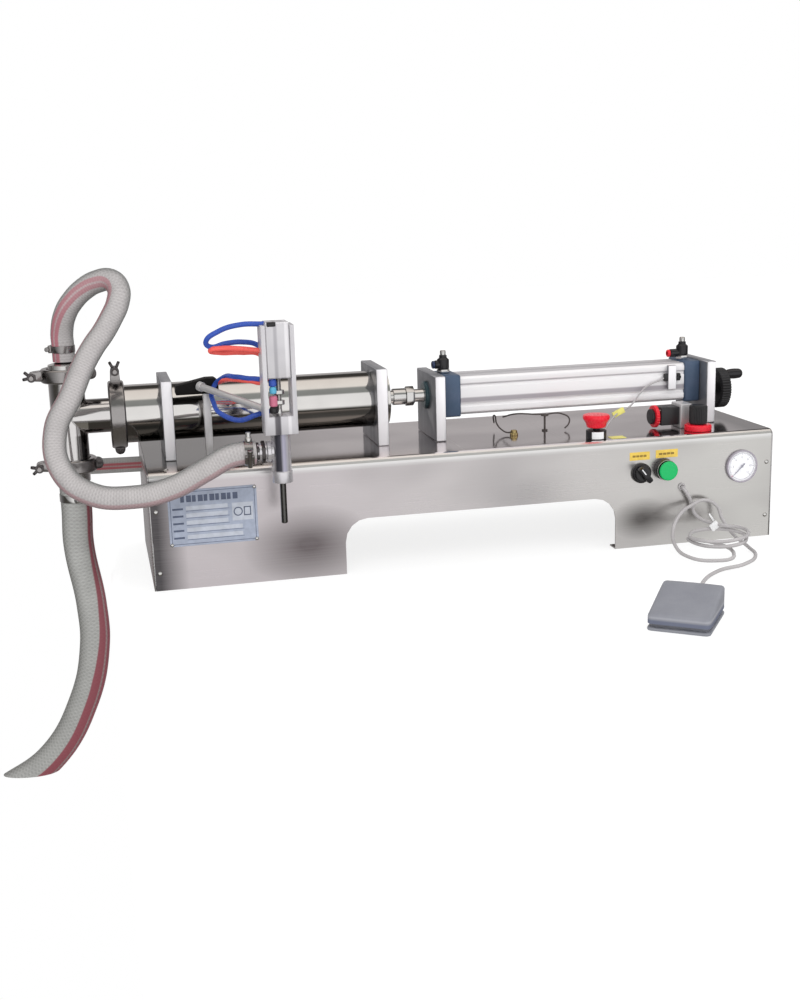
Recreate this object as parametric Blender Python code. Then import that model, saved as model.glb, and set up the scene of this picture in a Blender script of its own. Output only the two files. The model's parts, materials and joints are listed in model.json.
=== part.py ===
"""Benchtop piston liquid filler: an air cylinder drives a product piston that draws liquid
through a check-valve tee and pushes it through a hose to a filling nozzle.

Metres, +Z up. +X points from the product tee towards the handwheel, -Y is the operator's
side. Heights are laid out from the bench up, and the whole machine is then lowered so that
the origin is the centre of the deck's top face.
"""

import math

import bmesh
import bpy
from mathutils import Matrix, Vector

# Clearances and sheet
GAP = 0.0003
SHEET = 0.002
FINE = 24
COARSE = 16

# Base
BASE_HALF_LENGTH = 0.480
BASE_HALF_DEPTH = 0.145
DECK_TOP = 0.170
BEND_RADIUS = 0.010
FLANGE_DEPTH = 0.022
ARCH_X = (-0.201, 0.220)
REAR_ARCH_X = (-0.201, 0.345)
ARCH_TOP = 0.082
ARCH_RADIUS = 0.034
CLEAR_BAY_X = (-0.015, 0.150)
SCRIBE = 0.0003

# Line of the two cylinders
AXIS_Z = 0.235
PLATE_HALF_DEPTH = 0.058
TUBE_OUTER = 0.043
TUBE_BORE = 0.040
TUBE_X = (-0.5105, -0.104)
STROKE_ROD = 0.010
COUPLING_X = (-0.072, -0.059)

# Air cylinder
CAP_HALF = 0.0325
BARREL_HALF = 0.030
BARREL_BORE = 0.025
FRONT_CAP_X = (-0.0217, 0.009)
REAR_CAP_X = (0.383, 0.4092)
AIR_PISTON_X = (0.326, 0.3557)
BOSS_RADIUS = 0.018

# Stroke stop and handwheel
STOP_Z = AXIS_Z - 0.0185
SPINDLE = 0.005
WHEEL_RADIUS = 0.0325
WHEEL_X = (0.449, 0.468)
GRIP_OFFSET = 0.0215

# Product tee and check valves
TEE_X = -0.581
PIPE_OUTER = 0.0255
PIPE_BORE = 0.0238
FERRULE = 0.032
TEE_Z = (0.1649, 0.2980)
CLAMP_HALF_HEIGHT = 0.010
MAIN_RING = 0.050
PIPE_RING = 0.0355
MAIN_BOLT = 0.066
PIPE_BOLT = 0.0475
MAIN_WING = 0.0168
PIPE_WING = 0.0138

# Hoses
HOSE_OUTER = 0.0162
HOSE_WALL = 0.00245
SUCTION_OUTER = 0.0225
SUCTION_WALL = 0.003
SUCTION_END = -0.324

# Filling nozzle
NOZZLE = Vector((-0.2970, -0.200, 0.0))
FRAME_HALF_WIDTH = 0.0225
FRAME_BAR = 0.0060
FRAME_HALF_DEPTH = 0.018
FRAME_Z = (0.227, 0.376)
INLET_Z = 0.202

# Controls
ESTOP = (0.198, -0.118)
REGULATOR = (0.370, -0.110)
THROTTLE = (-0.070, 0.189)
SELECTOR = (0.2605, 0.117)
START = (0.2985, 0.1205)
GAUGE = (0.4275, 0.1155)
GROMMET = (0.328, 0.0905)
PANEL_Y = -BASE_HALF_DEPTH

# Foot pedal
PEDAL_CENTRE = (0.1728, -0.4956)
PEDAL_TURN = math.radians(-37)
PEDAL_SIZE = (0.080, 0.102)

FINISHES = {
    "stainless": ((0.62, 0.60, 0.60), 0.32, 1.0),
    "polished": ((0.75, 0.74, 0.74), 0.10, 1.0),
    "aluminium": ((0.78, 0.78, 0.80), 0.35, 1.0),
    "blue_cap": ((0.07, 0.11, 0.16), 0.50, 0.2),
    "black": ((0.02, 0.02, 0.022), 0.45, 0.0),
    "red": ((0.75, 0.02, 0.03), 0.35, 0.0),
    "green": ((0.02, 0.50, 0.14), 0.30, 0.0),
    "white": ((0.85, 0.85, 0.87), 0.40, 0.0),
    "hose": ((0.62, 0.64, 0.62), 0.30, 0.0),
    "grey": ((0.26, 0.26, 0.29), 0.50, 0.0),
    "cable": ((0.45, 0.44, 0.44), 0.50, 0.0),
}

TO_X = Matrix.Rotation(math.radians(90), 4, "Y")
TO_Y = Matrix.Rotation(math.radians(-90), 4, "X")


def clear_scene():
    for obj in list(bpy.data.objects):
        bpy.data.objects.remove(obj, do_unlink=True)


def finish(name):
    found = bpy.data.materials.get(name)
    if found:
        return found
    colour, roughness, metallic = FINISHES[name]
    made = bpy.data.materials.new(name)
    made.use_nodes = True
    shader = made.node_tree.nodes["Principled BSDF"]
    shader.inputs["Base Color"].default_value = (*colour, 1.0)
    shader.inputs["Roughness"].default_value = roughness
    shader.inputs["Metallic"].default_value = metallic
    return made


def node(name, shape, finish_name, at=(0, 0, 0)):
    """A named solid from a bmesh whose coordinates are relative to the point `at`."""
    bmesh.ops.recalc_face_normals(shape, faces=shape.faces)
    mesh = bpy.data.meshes.new(name)
    shape.to_mesh(mesh)
    shape.free()
    mesh.shade_smooth()
    mesh.set_sharp_from_angle(angle=math.radians(35))
    mesh.materials.append(finish(finish_name))
    obj = bpy.data.objects.new(name, mesh)
    obj.location = at
    bpy.context.scene.collection.objects.link(obj)
    return obj


def combine(target, shape, operation, at=(0, 0, 0)):
    """Unites a helper shape with the target, or cuts it away."""
    helper = node(f"{target.name}_{operation.lower()}_{len(target.modifiers)}", shape, "grey", at)
    helper.hide_render = True
    helper.display_type = "WIRE"
    boolean = target.modifiers.new(operation.title(), "BOOLEAN")
    boolean.operation = operation
    boolean.object = helper
    boolean.solver = "EXACT"


def evaluated(obj):
    """The object's finished shape, with every modifier applied, as a bmesh."""
    bpy.context.view_layer.update()
    mesh = bpy.data.meshes.new_from_object(obj.evaluated_get(bpy.context.evaluated_depsgraph_get()))
    shape = bmesh.new()
    shape.from_mesh(mesh)
    bpy.data.meshes.remove(mesh)
    return shape


def cut(target, shape, at=(0, 0, 0)):
    combine(target, shape, "DIFFERENCE", at)


def unite(target, shape, at=(0, 0, 0)):
    combine(target, shape, "UNION", at)


def turned(profile, sides=FINE, way=None):
    """A solid of revolution about Z, then turned so that its axis runs `way`.

    The profile is a list of (radius, height). It closes on itself, or starts and ends on
    the axis.
    """
    shape = bmesh.new()
    rim = [shape.verts.new((radius, 0, height)) for radius, height in profile]
    ends_on_axis = profile[0][0] == 0 and profile[-1][0] == 0
    pairs = list(zip(rim, rim[1:]))
    if not ends_on_axis:
        pairs.append((rim[-1], rim[0]))
    edges = [shape.edges.new(pair) for pair in pairs]
    bmesh.ops.spin(
        shape,
        geom=rim + edges,
        cent=(0, 0, 0),
        axis=(0, 0, 1),
        angle=math.tau,
        steps=sides,
        use_merge=True,
    )
    bmesh.ops.remove_doubles(shape, verts=shape.verts, dist=1e-6)
    if way:
        bmesh.ops.transform(shape, matrix=way, verts=shape.verts)
    return shape


def rod(radius, low, high, sides=FINE, way=None):
    return turned([(0, low), (radius, low), (radius, high), (0, high)], sides, way)


def block(low, high, bevel=0.0):
    """A box between two corners, with its edges chamfered."""
    shape = bmesh.new()
    bmesh.ops.create_cube(shape, size=1.0)
    low = Vector(low)
    high = Vector(high)
    size = high - low
    bmesh.ops.scale(shape, vec=size, verts=shape.verts)
    bmesh.ops.translate(shape, vec=(low + high) / 2, verts=shape.verts)
    if bevel:
        bmesh.ops.bevel(
            shape, geom=shape.edges, offset=bevel, segments=1, profile=0.5, affect="EDGES"
        )
    return shape


def prism(outline, low, high, way=None):
    """Extrudes a flat outline of (u, v) points along Z, then turns it."""
    shape = bmesh.new()
    face = shape.faces.new([shape.verts.new((u, v, low)) for u, v in outline])
    grown = bmesh.ops.extrude_face_region(shape, geom=[face])
    moved = [item for item in grown["geom"] if isinstance(item, bmesh.types.BMVert)]
    bmesh.ops.translate(shape, vec=(0, 0, high - low), verts=moved)
    if way:
        bmesh.ops.transform(shape, matrix=way, verts=shape.verts)
    return shape


def arc(centre, radius, start, end, steps):
    """Points on an arc, from one angle in degrees to another."""
    angles = [math.radians(start + (end - start) * i / steps) for i in range(steps + 1)]
    return [(centre[0] + radius * math.cos(a), centre[1] + radius * math.sin(a)) for a in angles]


# Base ------------------------------------------------------------------------------------


def base_outline(inset=0.0):
    """The base's end outline in (y, z): square at the bench, rounded at the deck."""
    side = BASE_HALF_DEPTH - inset
    top = DECK_TOP - inset
    radius = BEND_RADIUS - inset
    right = arc((side - radius, top - radius), radius, 0, 90, 4)
    left = arc((-side + radius, top - radius), radius, 90, 180, 4)
    return [(side, 0.0), *right, *left, (-side, 0.0)]


def arch_outline(low, high):
    """The opening between two legs of the base, in (x, z)."""
    right = arc((high - ARCH_RADIUS, ARCH_TOP - ARCH_RADIUS), ARCH_RADIUS, 0, 90, 4)
    left = arc((low + ARCH_RADIUS, ARCH_TOP - ARCH_RADIUS), ARCH_RADIUS, 90, 180, 4)
    return [(high, -0.01), *right, *left, (low, -0.01)]


def base_shell():
    """Deck, front and rear skirts and the flanges it stands on, folded from one sheet."""
    outer = base_outline()
    inner = base_outline(SHEET)
    flange = BASE_HALF_DEPTH - FLANGE_DEPTH
    section = [(flange, 0.0), *outer, (-flange, 0.0), (-flange, SHEET)]
    section += [(-BASE_HALF_DEPTH + SHEET, SHEET), *reversed(inner[1:-1])]
    section += [(BASE_HALF_DEPTH - SHEET, SHEET), (flange, SHEET)]
    to_yz = Matrix(((0, 0, 1, 0), (1, 0, 0, 0), (0, 1, 0, 0), (0, 0, 0, 1)))
    half = BASE_HALF_LENGTH - SHEET - GAP
    folded = prism(section, -half, half, to_yz)
    shell = node("base_shell", folded, "stainless")
    to_xz = Matrix(((1, 0, 0, 0), (0, 0, 1, 0), (0, 1, 0, 0), (0, 0, 0, 1)))
    cut(shell, prism(arch_outline(*ARCH_X), -0.2, 0.0, to_xz))
    cut(shell, prism(arch_outline(*REAR_ARCH_X), 0.001, 0.2, to_xz))
    for (x, y), radius in ((ESTOP, 0.0113), (REGULATOR, 0.0148)):
        cut(shell, rod(radius, -0.01, 0.01, COARSE), (x, y, DECK_TOP))
    for (x, z), radius in ((SELECTOR, 0.0113), (START, 0.0113), (GAUGE, 0.0195), (GROMMET, 0.0045)):
        cut(shell, rod(radius, -0.01, 0.01, COARSE, TO_Y), (x, PANEL_Y, z))
    # Two scribed lines mark off the deck's clear bay, where nothing stands.
    for x in CLEAR_BAY_X:
        line = block((x - SCRIBE / 2, -0.15, DECK_TOP - SCRIBE / 3), (x + SCRIBE / 2, 0.15, DECK_TOP + 0.01))
        cut(shell, line)


def end_panels():
    to_yz = Matrix(((0, 0, 1, 0), (1, 0, 0, 0), (0, 1, 0, 0), (0, 0, 0, 1)))
    inner = BASE_HALF_LENGTH - SHEET
    node("end_panel_right", prism(base_outline(), inner, BASE_HALF_LENGTH, to_yz), "stainless")
    node("end_panel_left", prism(base_outline(), -BASE_HALF_LENGTH, -inner, to_yz), "stainless")


def solenoid_valve():
    """Five-port valve that hangs under the deck and switches the air cylinder."""
    top = DECK_TOP - SHEET - GAP
    node("solenoid_valve", block((0.255, 0.026, top - 0.040), (0.345, 0.054, top), 0.002), "black")


# Cylinder line ---------------------------------------------------------------------------


def support_plate(name, x_low, x_high, top, hole_radius, hole_z=AXIS_Z):
    low = (x_low, -PLATE_HALF_DEPTH, DECK_TOP + GAP)
    high = (x_high, PLATE_HALF_DEPTH, top)
    plate = node(name, block(low, high, 0.0008), "aluminium")
    hole = rod(hole_radius, x_low - 0.01, x_high + 0.01, FINE, TO_X)
    cut(plate, hole, (0, 0, hole_z))


def support_plates():
    support_plate("tube_plate_left", -0.448, -0.432, 0.287, TUBE_OUTER + GAP)
    support_plate("tube_plate_right", -0.129, -0.112, 0.287, TUBE_OUTER + GAP)
    support_plate("cylinder_plate_front", -0.038, -0.022, 0.2705, BOSS_RADIUS + GAP)
    support_plate("cylinder_plate_rear", 0.4095, 0.4245, 0.269, SPINDLE + 0.0004, STOP_Z)


def product_tube():
    """Polished measuring tube with a clamp ferrule on its left end."""
    left, right = TUBE_X
    profile = [
        (TUBE_BORE, left),
        (0.0455, left),
        (0.0455, left + 0.006),
        (TUBE_OUTER, left + 0.0075),
        (TUBE_OUTER, right),
        (TUBE_BORE, right),
    ]
    node("product_tube", turned(profile, FINE, TO_X), "polished", (0, 0, AXIS_Z))


def product_piston():
    """Grooved piston and its rod, one turned piece, drawn back to the right."""
    left = -0.152
    right = -0.116
    crown = TUBE_BORE - 0.0004
    groove = TUBE_BORE - 0.003
    profile = [(0, left), (crown - 0.002, left), (crown, left + 0.002)]
    for start in (left + 0.008, left + 0.022):
        profile += [(crown, start), (groove, start), (groove, start + 0.005), (crown, start + 0.005)]
    profile += [(crown, right), (STROKE_ROD, right)]
    profile += [(STROKE_ROD, COUPLING_X[0] - GAP), (0, COUPLING_X[0] - GAP)]
    node("product_piston", turned(profile, FINE, TO_X), "polished", (0, 0, AXIS_Z))


def rod_coupling():
    """Hexagonal coupling between the product rod and the air rod."""
    shape = rod(0.0165, *COUPLING_X, 6, TO_X)
    node("rod_coupling", shape, "polished", (0, 0, AXIS_Z))


def air_rod():
    shape = rod(STROKE_ROD, COUPLING_X[1] + GAP, AIR_PISTON_X[0] - GAP, COARSE, TO_X)
    node("air_rod", shape, "polished", (0, 0, AXIS_Z))


def air_piston():
    left, right = AIR_PISTON_X
    crown = BARREL_BORE - 0.0004
    groove = crown - 0.003
    profile = [(0, left), (crown, left)]
    start = left + 0.013
    profile += [(crown, start), (groove, start), (groove, start + 0.004), (crown, start + 0.004)]
    profile += [(crown, right), (0, right)]
    node("air_piston", turned(profile, FINE, TO_X), "aluminium", (0, 0, AXIS_Z))


def barrel_outline():
    """Square profile with two shallow grooves on each side, in (u, v)."""
    half = BARREL_HALF
    chamfer = 0.004
    depth = 0.0015
    side = [(half, -half + chamfer)]
    for centre in (-0.015, 0.015):
        side += [(half, centre - 0.003), (half - depth, centre - 0.002)]
        side += [(half - depth, centre + 0.002), (half, centre + 0.003)]
    side.append((half, half - chamfer))
    outline = []
    for quarter in range(4):
        turn = Matrix.Rotation(quarter * math.pi / 2, 2)
        outline += [tuple(turn @ Vector(point)) for point in side]
    return outline


def air_cylinder():
    at = (0, 0, AXIS_Z)
    low = FRONT_CAP_X[1] + GAP
    high = REAR_CAP_X[0] - GAP
    barrel = node("air_barrel", prism(barrel_outline(), low, high, TO_X), "aluminium", at)
    cut(barrel, rod(BARREL_BORE, low - 0.01, high + 0.01, FINE, TO_X), at)
    half = CAP_HALF
    for name, (x_low, x_high) in (("air_cap_front", FRONT_CAP_X), ("air_cap_rear", REAR_CAP_X)):
        shape = block((x_low, -half, -half), (x_high, half, half), 0.0015)
        cap = node(name, shape, "blue_cap", at)
        if name == "air_cap_front":
            unite(cap, rod(BOSS_RADIUS, -0.042, x_low + 0.005, FINE, TO_X), at)
            cut(cap, rod(STROKE_ROD + GAP, -0.05, x_high + 0.01, COARSE, TO_X), at)
        else:
            hole = rod(SPINDLE + 0.0004, x_low - 0.01, x_high + 0.01, 16, TO_X)
            cut(cap, hole, (0, 0, STOP_Z))


def flow_control(end, x):
    """Black flow-control body on a cap, with its adjusting screw on top."""
    low = AXIS_Z + CAP_HALF + GAP
    body = [(0, low), (0.007, low), (0.007, low + 0.006), (0.0095, low + 0.007)]
    body += [(0.0095, low + 0.021), (0.006, low + 0.024), (0.006, low + 0.028), (0, low + 0.028)]
    node(f"flow_body_{end}", turned(body, 16), "black", (x, 0, 0))
    low += 0.028 + GAP
    screw = [(0, low), (0.0045, low), (0.0045, low + 0.006), (0.0035, low + 0.007), (0, low + 0.007)]
    node(f"flow_screw_{end}", turned(screw, 12), "polished", (x, 0, 0))


def stroke_stop():
    """Bumper, threaded spindle and handwheel that set how far the pistons draw back."""
    at = (0, 0, STOP_Z)
    bumper_x = AIR_PISTON_X[1] + GAP
    bumper = rod(0.006, bumper_x, bumper_x + 0.008, 16, TO_X)
    node("stop_bumper", bumper, "black", at)
    hub_x = WHEEL_X[0] - 0.011
    node("stop_spindle", rod(SPINDLE, bumper_x + 0.008 + GAP, hub_x - GAP, 16, TO_X), "polished", at)
    left, right = WHEEL_X
    profile = [
        (0, hub_x),
        (0.010, hub_x),
        (0.010, left + 0.003),
        (WHEEL_RADIUS - 0.006, left + 0.003),
        (WHEEL_RADIUS - 0.003, left),
        (WHEEL_RADIUS, left + 0.003),
        (WHEEL_RADIUS, right - 0.003),
        (WHEEL_RADIUS - 0.003, right),
        (0.010, right - 0.003),
        (0, right - 0.003),
    ]
    node("handwheel", turned(profile, FINE, TO_X), "black", at)
    grip = [(0, right + GAP), (0.005, right + GAP), (0.0085, right + 0.006)]
    grip += [(0.0085, right + 0.027), (0.006, right + 0.031), (0, right + 0.031)]
    node("handwheel_grip", turned(grip, 16, TO_X), "black", (0, 0, STOP_Z + GRIP_OFFSET))


# Product tee -----------------------------------------------------------------------------


def tee_body():
    """Welded tee: a vertical pipe with two ferrules and a branch that closes the tube."""
    low, high = TEE_Z
    at = (TEE_X, 0, 0)
    upright = [
        (0, low),
        (FERRULE, low),
        (FERRULE, low + 0.0056),
        (PIPE_OUTER, low + 0.0066),
        (PIPE_OUTER, high - 0.0065),
        (FERRULE, high - 0.0055),
        (FERRULE, high),
        (0, high),
    ]
    tee = node("tee_body", turned(upright), "polished", at)
    face = TUBE_X[0] - GAP
    branch = [(0, TEE_X), (PIPE_OUTER - 0.0002, TEE_X), (PIPE_OUTER - 0.0002, face - 0.010)]
    branch += [(0.0455, face - 0.006), (0.0455, face), (0, face)]
    unite(tee, turned(branch, FINE, TO_X), (0, 0, AXIS_Z))
    cut(tee, rod(PIPE_BORE, low - 0.01, high + 0.01), at)
    cut(tee, rod(PIPE_BORE - 0.0003, TEE_X, face + 0.01, FINE, TO_X), (0, 0, AXIS_Z))


def outlet_valve():
    """Upper check valve: a seat, a lifting poppet and a hose barb."""
    face = TEE_Z[1] + 0.0006
    profile = [
        (0.012, face),
        (FERRULE, face),
        (FERRULE, 0.3045),
        (0.024, 0.3055),
        (0.024, 0.3135),
        (0.0124, 0.3165),
        (0.0124, 0.344),
        (0.0105, 0.344),
        (0.0105, 0.3145),
        (0.021, 0.3130),
        (0.021, 0.3035),
        (0.012, 0.3035),
    ]
    node("outlet_valve_body", turned(profile), "polished", (TEE_X, 0, 0))
    poppet("outlet_poppet", 0.3035 + GAP)


def inlet_valve():
    """Lower check valve, with a side stub for the return hose and the suction barb."""
    face = TEE_Z[0] - 0.0006
    profile = [
        (0.021, face),
        (FERRULE, face),
        (FERRULE, 0.1585),
        (0.024, 0.1575),
        (0.024, 0.1395),
        (0.0177, 0.1365),
        (0.0177, 0.104),
        (0.0160, 0.104),
        (0.0160, 0.138),
        (0.013, 0.1395),
        (0.013, 0.1435),
        (0.021, 0.1435),
    ]
    body = node("inlet_valve_body", turned(profile), "polished", (TEE_X, 0, 0))
    unite(body, rod(0.0085, 0.0225, 0.055, 16, TO_Y), (TEE_X, 0, 0.1455))
    poppet("inlet_poppet", 0.1435 + GAP)


def poppet(name, seat_z):
    """A disc on a guide stem. It rests on its seat and lifts."""
    stem = seat_z - 0.016
    profile = [(0, stem), (0.004, stem), (0.004, seat_z), (0.018, seat_z)]
    profile += [(0.018, seat_z + 0.002), (0.012, seat_z + 0.003), (0, seat_z + 0.003)]
    node(name, turned(profile, 16), "polished", (TEE_X, 0, 0))


def clamp_ring(name, lip, flange, outer, half_width, flange_half, way, at, lug_way, reach):
    """A channel ring round two ferrules, with lugs and a bolt along Y, and a hinge opposite."""
    profile = [
        (lip, -half_width),
        (outer, -half_width),
        (outer, half_width),
        (lip, half_width),
        (lip, flange_half),
        (flange, flange_half),
        (flange, -flange_half),
        (lip, -flange_half),
    ]
    ring = node(name, turned(profile, FINE, way), "stainless", at)
    for side in (-1, 1):
        near, far = sorted((side * 0.004, side * 0.010))
        lug = block((outer - 0.0015, near, -0.006), (reach + 0.005, far, 0.006), 0.001)
        bmesh.ops.transform(lug, matrix=lug_way, verts=lug.verts)
        unite(ring, lug, at)
    bolt = rod(0.003, -0.027, 0.013, 12, TO_Y)
    bmesh.ops.translate(bolt, vec=lug_way @ Vector((reach, 0, 0)), verts=bolt.verts)
    unite(ring, bolt, at)
    hinge = block((-outer - 0.009, -0.010, -0.0085), (-outer + 0.0015, 0.010, 0.0085), 0.0025)
    bmesh.ops.transform(hinge, matrix=lug_way, verts=hinge.verts)
    unite(ring, hinge, at)


def wing_nut(name, at, lean, reach):
    """Wing nut about Y, its two wings spread round the angle `lean` in degrees."""
    nut = node(name, rod(0.0068, -0.0203, -0.0103, 16, TO_Y), "polished", at)
    for spread in (-26, 26):
        wing = block((-0.0022, -0.0188, 0.003), (0.0022, -0.0114, reach), 0.0010)
        turn = Matrix.Rotation(math.radians(lean + spread), 4, "Y")
        bmesh.ops.transform(wing, matrix=turn, verts=wing.verts)
        unite(nut, wing, at)
    cut(nut, rod(0.0033, -0.03, 0.0, 12, TO_Y), at)


def clamps():
    up = Matrix.Rotation(math.radians(-90), 4, "Y")
    left = Matrix.Rotation(math.radians(180), 4, "Z")
    joint = (TUBE_X[0] - GAP / 2, 0, AXIS_Z)
    clamp_ring("main_clamp", 0.0440, 0.0458, MAIN_RING, 0.0115, 0.0080, TO_X, joint, up, MAIN_BOLT)
    wing_nut("main_wing_nut", (joint[0], 0, AXIS_Z + MAIN_BOLT), 0, MAIN_WING)
    for name, z, lean in (("upper", 0.2983, -75), ("lower", 0.1646, -105)):
        at = (TEE_X, 0, z)
        profile = (0.0265, 0.0323, PIPE_RING, CLAMP_HALF_HEIGHT, 0.0075)
        clamp_ring(f"{name}_clamp", *profile, None, at, left, PIPE_BOLT)
        wing_nut(f"{name}_wing_nut", (TEE_X - PIPE_BOLT, 0, z), lean, PIPE_WING)


# Hoses and cable -------------------------------------------------------------------------


def along(name, points, radius, finish_name, sides_step, resolution):
    """A round length of hose or cable through the points, as a curve."""
    curve = bpy.data.curves.new(name, "CURVE")
    curve.dimensions = "3D"
    curve.bevel_depth = radius
    curve.bevel_resolution = sides_step
    curve.resolution_u = resolution
    curve.twist_mode = "MINIMUM"
    spline = curve.splines.new("BEZIER")
    spline.bezier_points.add(len(points) - 1)
    for bezier, point in zip(spline.bezier_points, points):
        bezier.co = point
        bezier.handle_left_type = "AUTO"
        bezier.handle_right_type = "AUTO"
    curve.materials.append(finish(finish_name))
    obj = bpy.data.objects.new(name, curve)
    bpy.context.scene.collection.objects.link(obj)
    return obj


def hollow(hose, wall):
    solidify = hose.modifiers.new("Wall", "SOLIDIFY")
    solidify.thickness = wall
    solidify.offset = -1


def discharge_hose():
    """From the outlet barb up, over, down in front of the tee and across to the nozzle."""
    points = [
        (TEE_X, 0.0, 0.318),
        (TEE_X, 0.0, 0.345),
        (TEE_X, 0.0, 0.358),
        (-0.574, -0.008, 0.386),
        (-0.550, -0.018, 0.418),
        (-0.516, -0.034, 0.436),
        (-0.497, -0.052, 0.420),
        (-0.504, -0.068, 0.392),
        (-0.526, -0.082, 0.360),
        (-0.565, -0.106, 0.302),
        (-0.598, -0.128, 0.238),
        (-0.594, -0.150, 0.186),
        (-0.558, -0.170, 0.155),
        (-0.500, -0.181, 0.148),
        (-0.448, -0.187, 0.158),
        (-0.400, -0.195, 0.182),
        (-0.368, -0.200, 0.199),
        (-0.346, -0.200, INLET_Z),
        (-0.322, -0.200, INLET_Z),
    ]
    hollow(along("discharge_hose", points, HOSE_OUTER, "hose", 2, 2), HOSE_WALL)


def suction_hose():
    """Hangs from the inlet barb past the edge of the bench."""
    points = [
        (TEE_X, 0, 0.130),
        (TEE_X, 0, 0.095),
        (-0.5825, 0, 0.043),
        (-0.5710, 0, -0.055),
        (-0.5715, 0, -0.120),
        (-0.5950, 0, -0.208),
        (-0.6500, 0, -0.294),
        (-0.7290, 0, -0.343),
    ]
    line = along("suction_line", points, SUCTION_OUTER, "hose", 2, 4)
    skin = evaluated(line)
    bpy.data.objects.remove(line)
    # Its lower end is cut level.
    everything = [*skin.verts, *skin.edges, *skin.faces]
    level = {"plane_co": (0, 0, SUCTION_END), "plane_no": (0, 0, 1)}
    bmesh.ops.bisect_plane(skin, geom=everything, clear_inner=True, **level)
    hollow(node("suction_hose", skin, "hose"), SUCTION_WALL)


def pedal_frame(width, depth):
    """World x, y of a point on the pedal, from its own width and depth coordinates."""
    turn = Matrix.Rotation(PEDAL_TURN, 2)
    point = turn @ Vector((width, depth))
    return (PEDAL_CENTRE[0] + point.x, PEDAL_CENTRE[1] + point.y)


def pedal_cable():
    """From the front panel, in two turns and one raised loop on the bench, to the pedal."""
    radius = 0.00325
    centre = (0.352, -0.225)
    points = [
        (GROMMET[0], -0.1435, GROMMET[1]),
        (0.3288, -0.1520, 0.0880),
        (0.3355, -0.1545, 0.0780),
        (0.3420, -0.1530, 0.0635),
        (0.3480, -0.1570, 0.0460),
    ]
    for i in range(15):
        angle = math.radians(60 - 45 * i)
        reach = 0.0435 + 0.003 * math.sin(1.7 * i)
        lift = 0.036 - 0.0009 * i
        points.append(
            (centre[0] + reach * math.cos(angle), centre[1] + reach * math.sin(angle), lift)
        )
    points += [
        (0.352, -0.276, 0.0120),
        (0.316, -0.274, 0.0075),
        (0.292, -0.248, 0.0090),
        (0.288, -0.215, 0.0160),
        (0.294, -0.190, 0.0310),
        (0.311, -0.174, 0.0520),
        (0.340, -0.160, 0.0640),
        (0.361, -0.158, 0.0694),
        (0.381, -0.160, 0.0584),
        (0.387, -0.166, 0.0400),
        (0.398, -0.182, 0.0180),
        (0.406, -0.215, 0.0060),
        (0.398, -0.255, 0.0040),
        (0.360, -0.294, 0.0040),
        (0.311, -0.312, 0.0040),
        (0.256, -0.368, 0.0040),
    ]
    for depth, height in ((0.078, 0.005), (0.0530, 0.0065)):
        points.append((*pedal_frame(0.008, depth), height))
    cable = along("pedal_cable", points, radius, "cable", 1, 2)
    cable.data.use_fill_caps = True


# Nozzle ----------------------------------------------------------------------------------


def nozzle_frame():
    """U-shaped frame that hangs the nozzle body under its air cylinder."""
    low, high = FRAME_Z
    half = FRAME_HALF_WIDTH
    outline = [(-half, low), (half, low), (half, high), (half - FRAME_BAR, high)]
    outline += [(half - FRAME_BAR, low + 0.025), (-half + FRAME_BAR, low + 0.025)]
    outline += [(-half + FRAME_BAR, high), (-half, high)]
    to_xz = Matrix(((1, 0, 0, 0), (0, 0, 1, 0), (0, 1, 0, 0), (0, 0, 0, 1)))
    shape = prism(outline, -FRAME_HALF_DEPTH, FRAME_HALF_DEPTH, to_xz)
    frame = node("nozzle_frame", shape, "aluminium", NOZZLE)
    cut(frame, rod(0.0045, low - 0.01, low + 0.035, 16), NOZZLE)


def nozzle_cylinder():
    half = FRAME_HALF_WIDTH - FRAME_BAR - GAP
    depth = FRAME_HALF_DEPTH
    shape = block((-half, -depth, 0.304), (half, depth, 0.380), 0.001)
    cylinder = node("nozzle_cylinder", shape, "aluminium", NOZZLE)
    cut(cylinder, rod(0.0135, 0.290, 0.374, COARSE), NOZZLE)


def nozzle_plunger():
    """Piston, rod and adjusting nuts that open and shut the nozzle."""
    profile = [(0, 0.1665), (0.004, 0.172), (0.004, 0.266)]
    for start in (0.266, 0.280):
        profile += [(0.0075, start), (0.0075, start + 0.007), (0.004, start + 0.007)]
    profile += [(0.004, 0.330), (0.013, 0.330), (0.013, 0.342), (0, 0.342)]
    node("nozzle_plunger", turned(profile, 16), "polished", NOZZLE)


def nozzle_body():
    """Bright tube with a lower collar and a side inlet barb."""
    top = FRAME_Z[0] - GAP
    profile = [
        (0.0045, top),
        (0.0135, top),
        (0.0135, 0.176),
        (0.0145, 0.174),
        (0.0145, 0.158),
        (0.0090, 0.158),
        (0.0090, 0.169),
        (0.0095, 0.171),
        (0.0095, 0.220),
        (0.0045, 0.220),
    ]
    body = node("nozzle_body", turned(profile, COARSE), "polished", NOZZLE)
    barb_left = -0.346 - NOZZLE.x
    inlet = (NOZZLE.x, NOZZLE.y, INLET_Z)
    barb = [(0.0095, barb_left), (0.0124, barb_left), (0.0124, -0.0105), (0.0095, -0.0105)]
    unite(body, turned(barb, COARSE, TO_X), inlet)
    cut(body, rod(0.0090, barb_left - 0.01, -0.002, 20, TO_X), inlet)


def nozzle_tip():
    profile = [(0.003, 0.099), (0.0045, 0.099), (0.0045, 0.160), (0.008, 0.162), (0.008, 0.1645)]
    profile += [(0.003, 0.1645)]
    node("nozzle_tip", turned(profile, 16), "stainless", NOZZLE)


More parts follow.
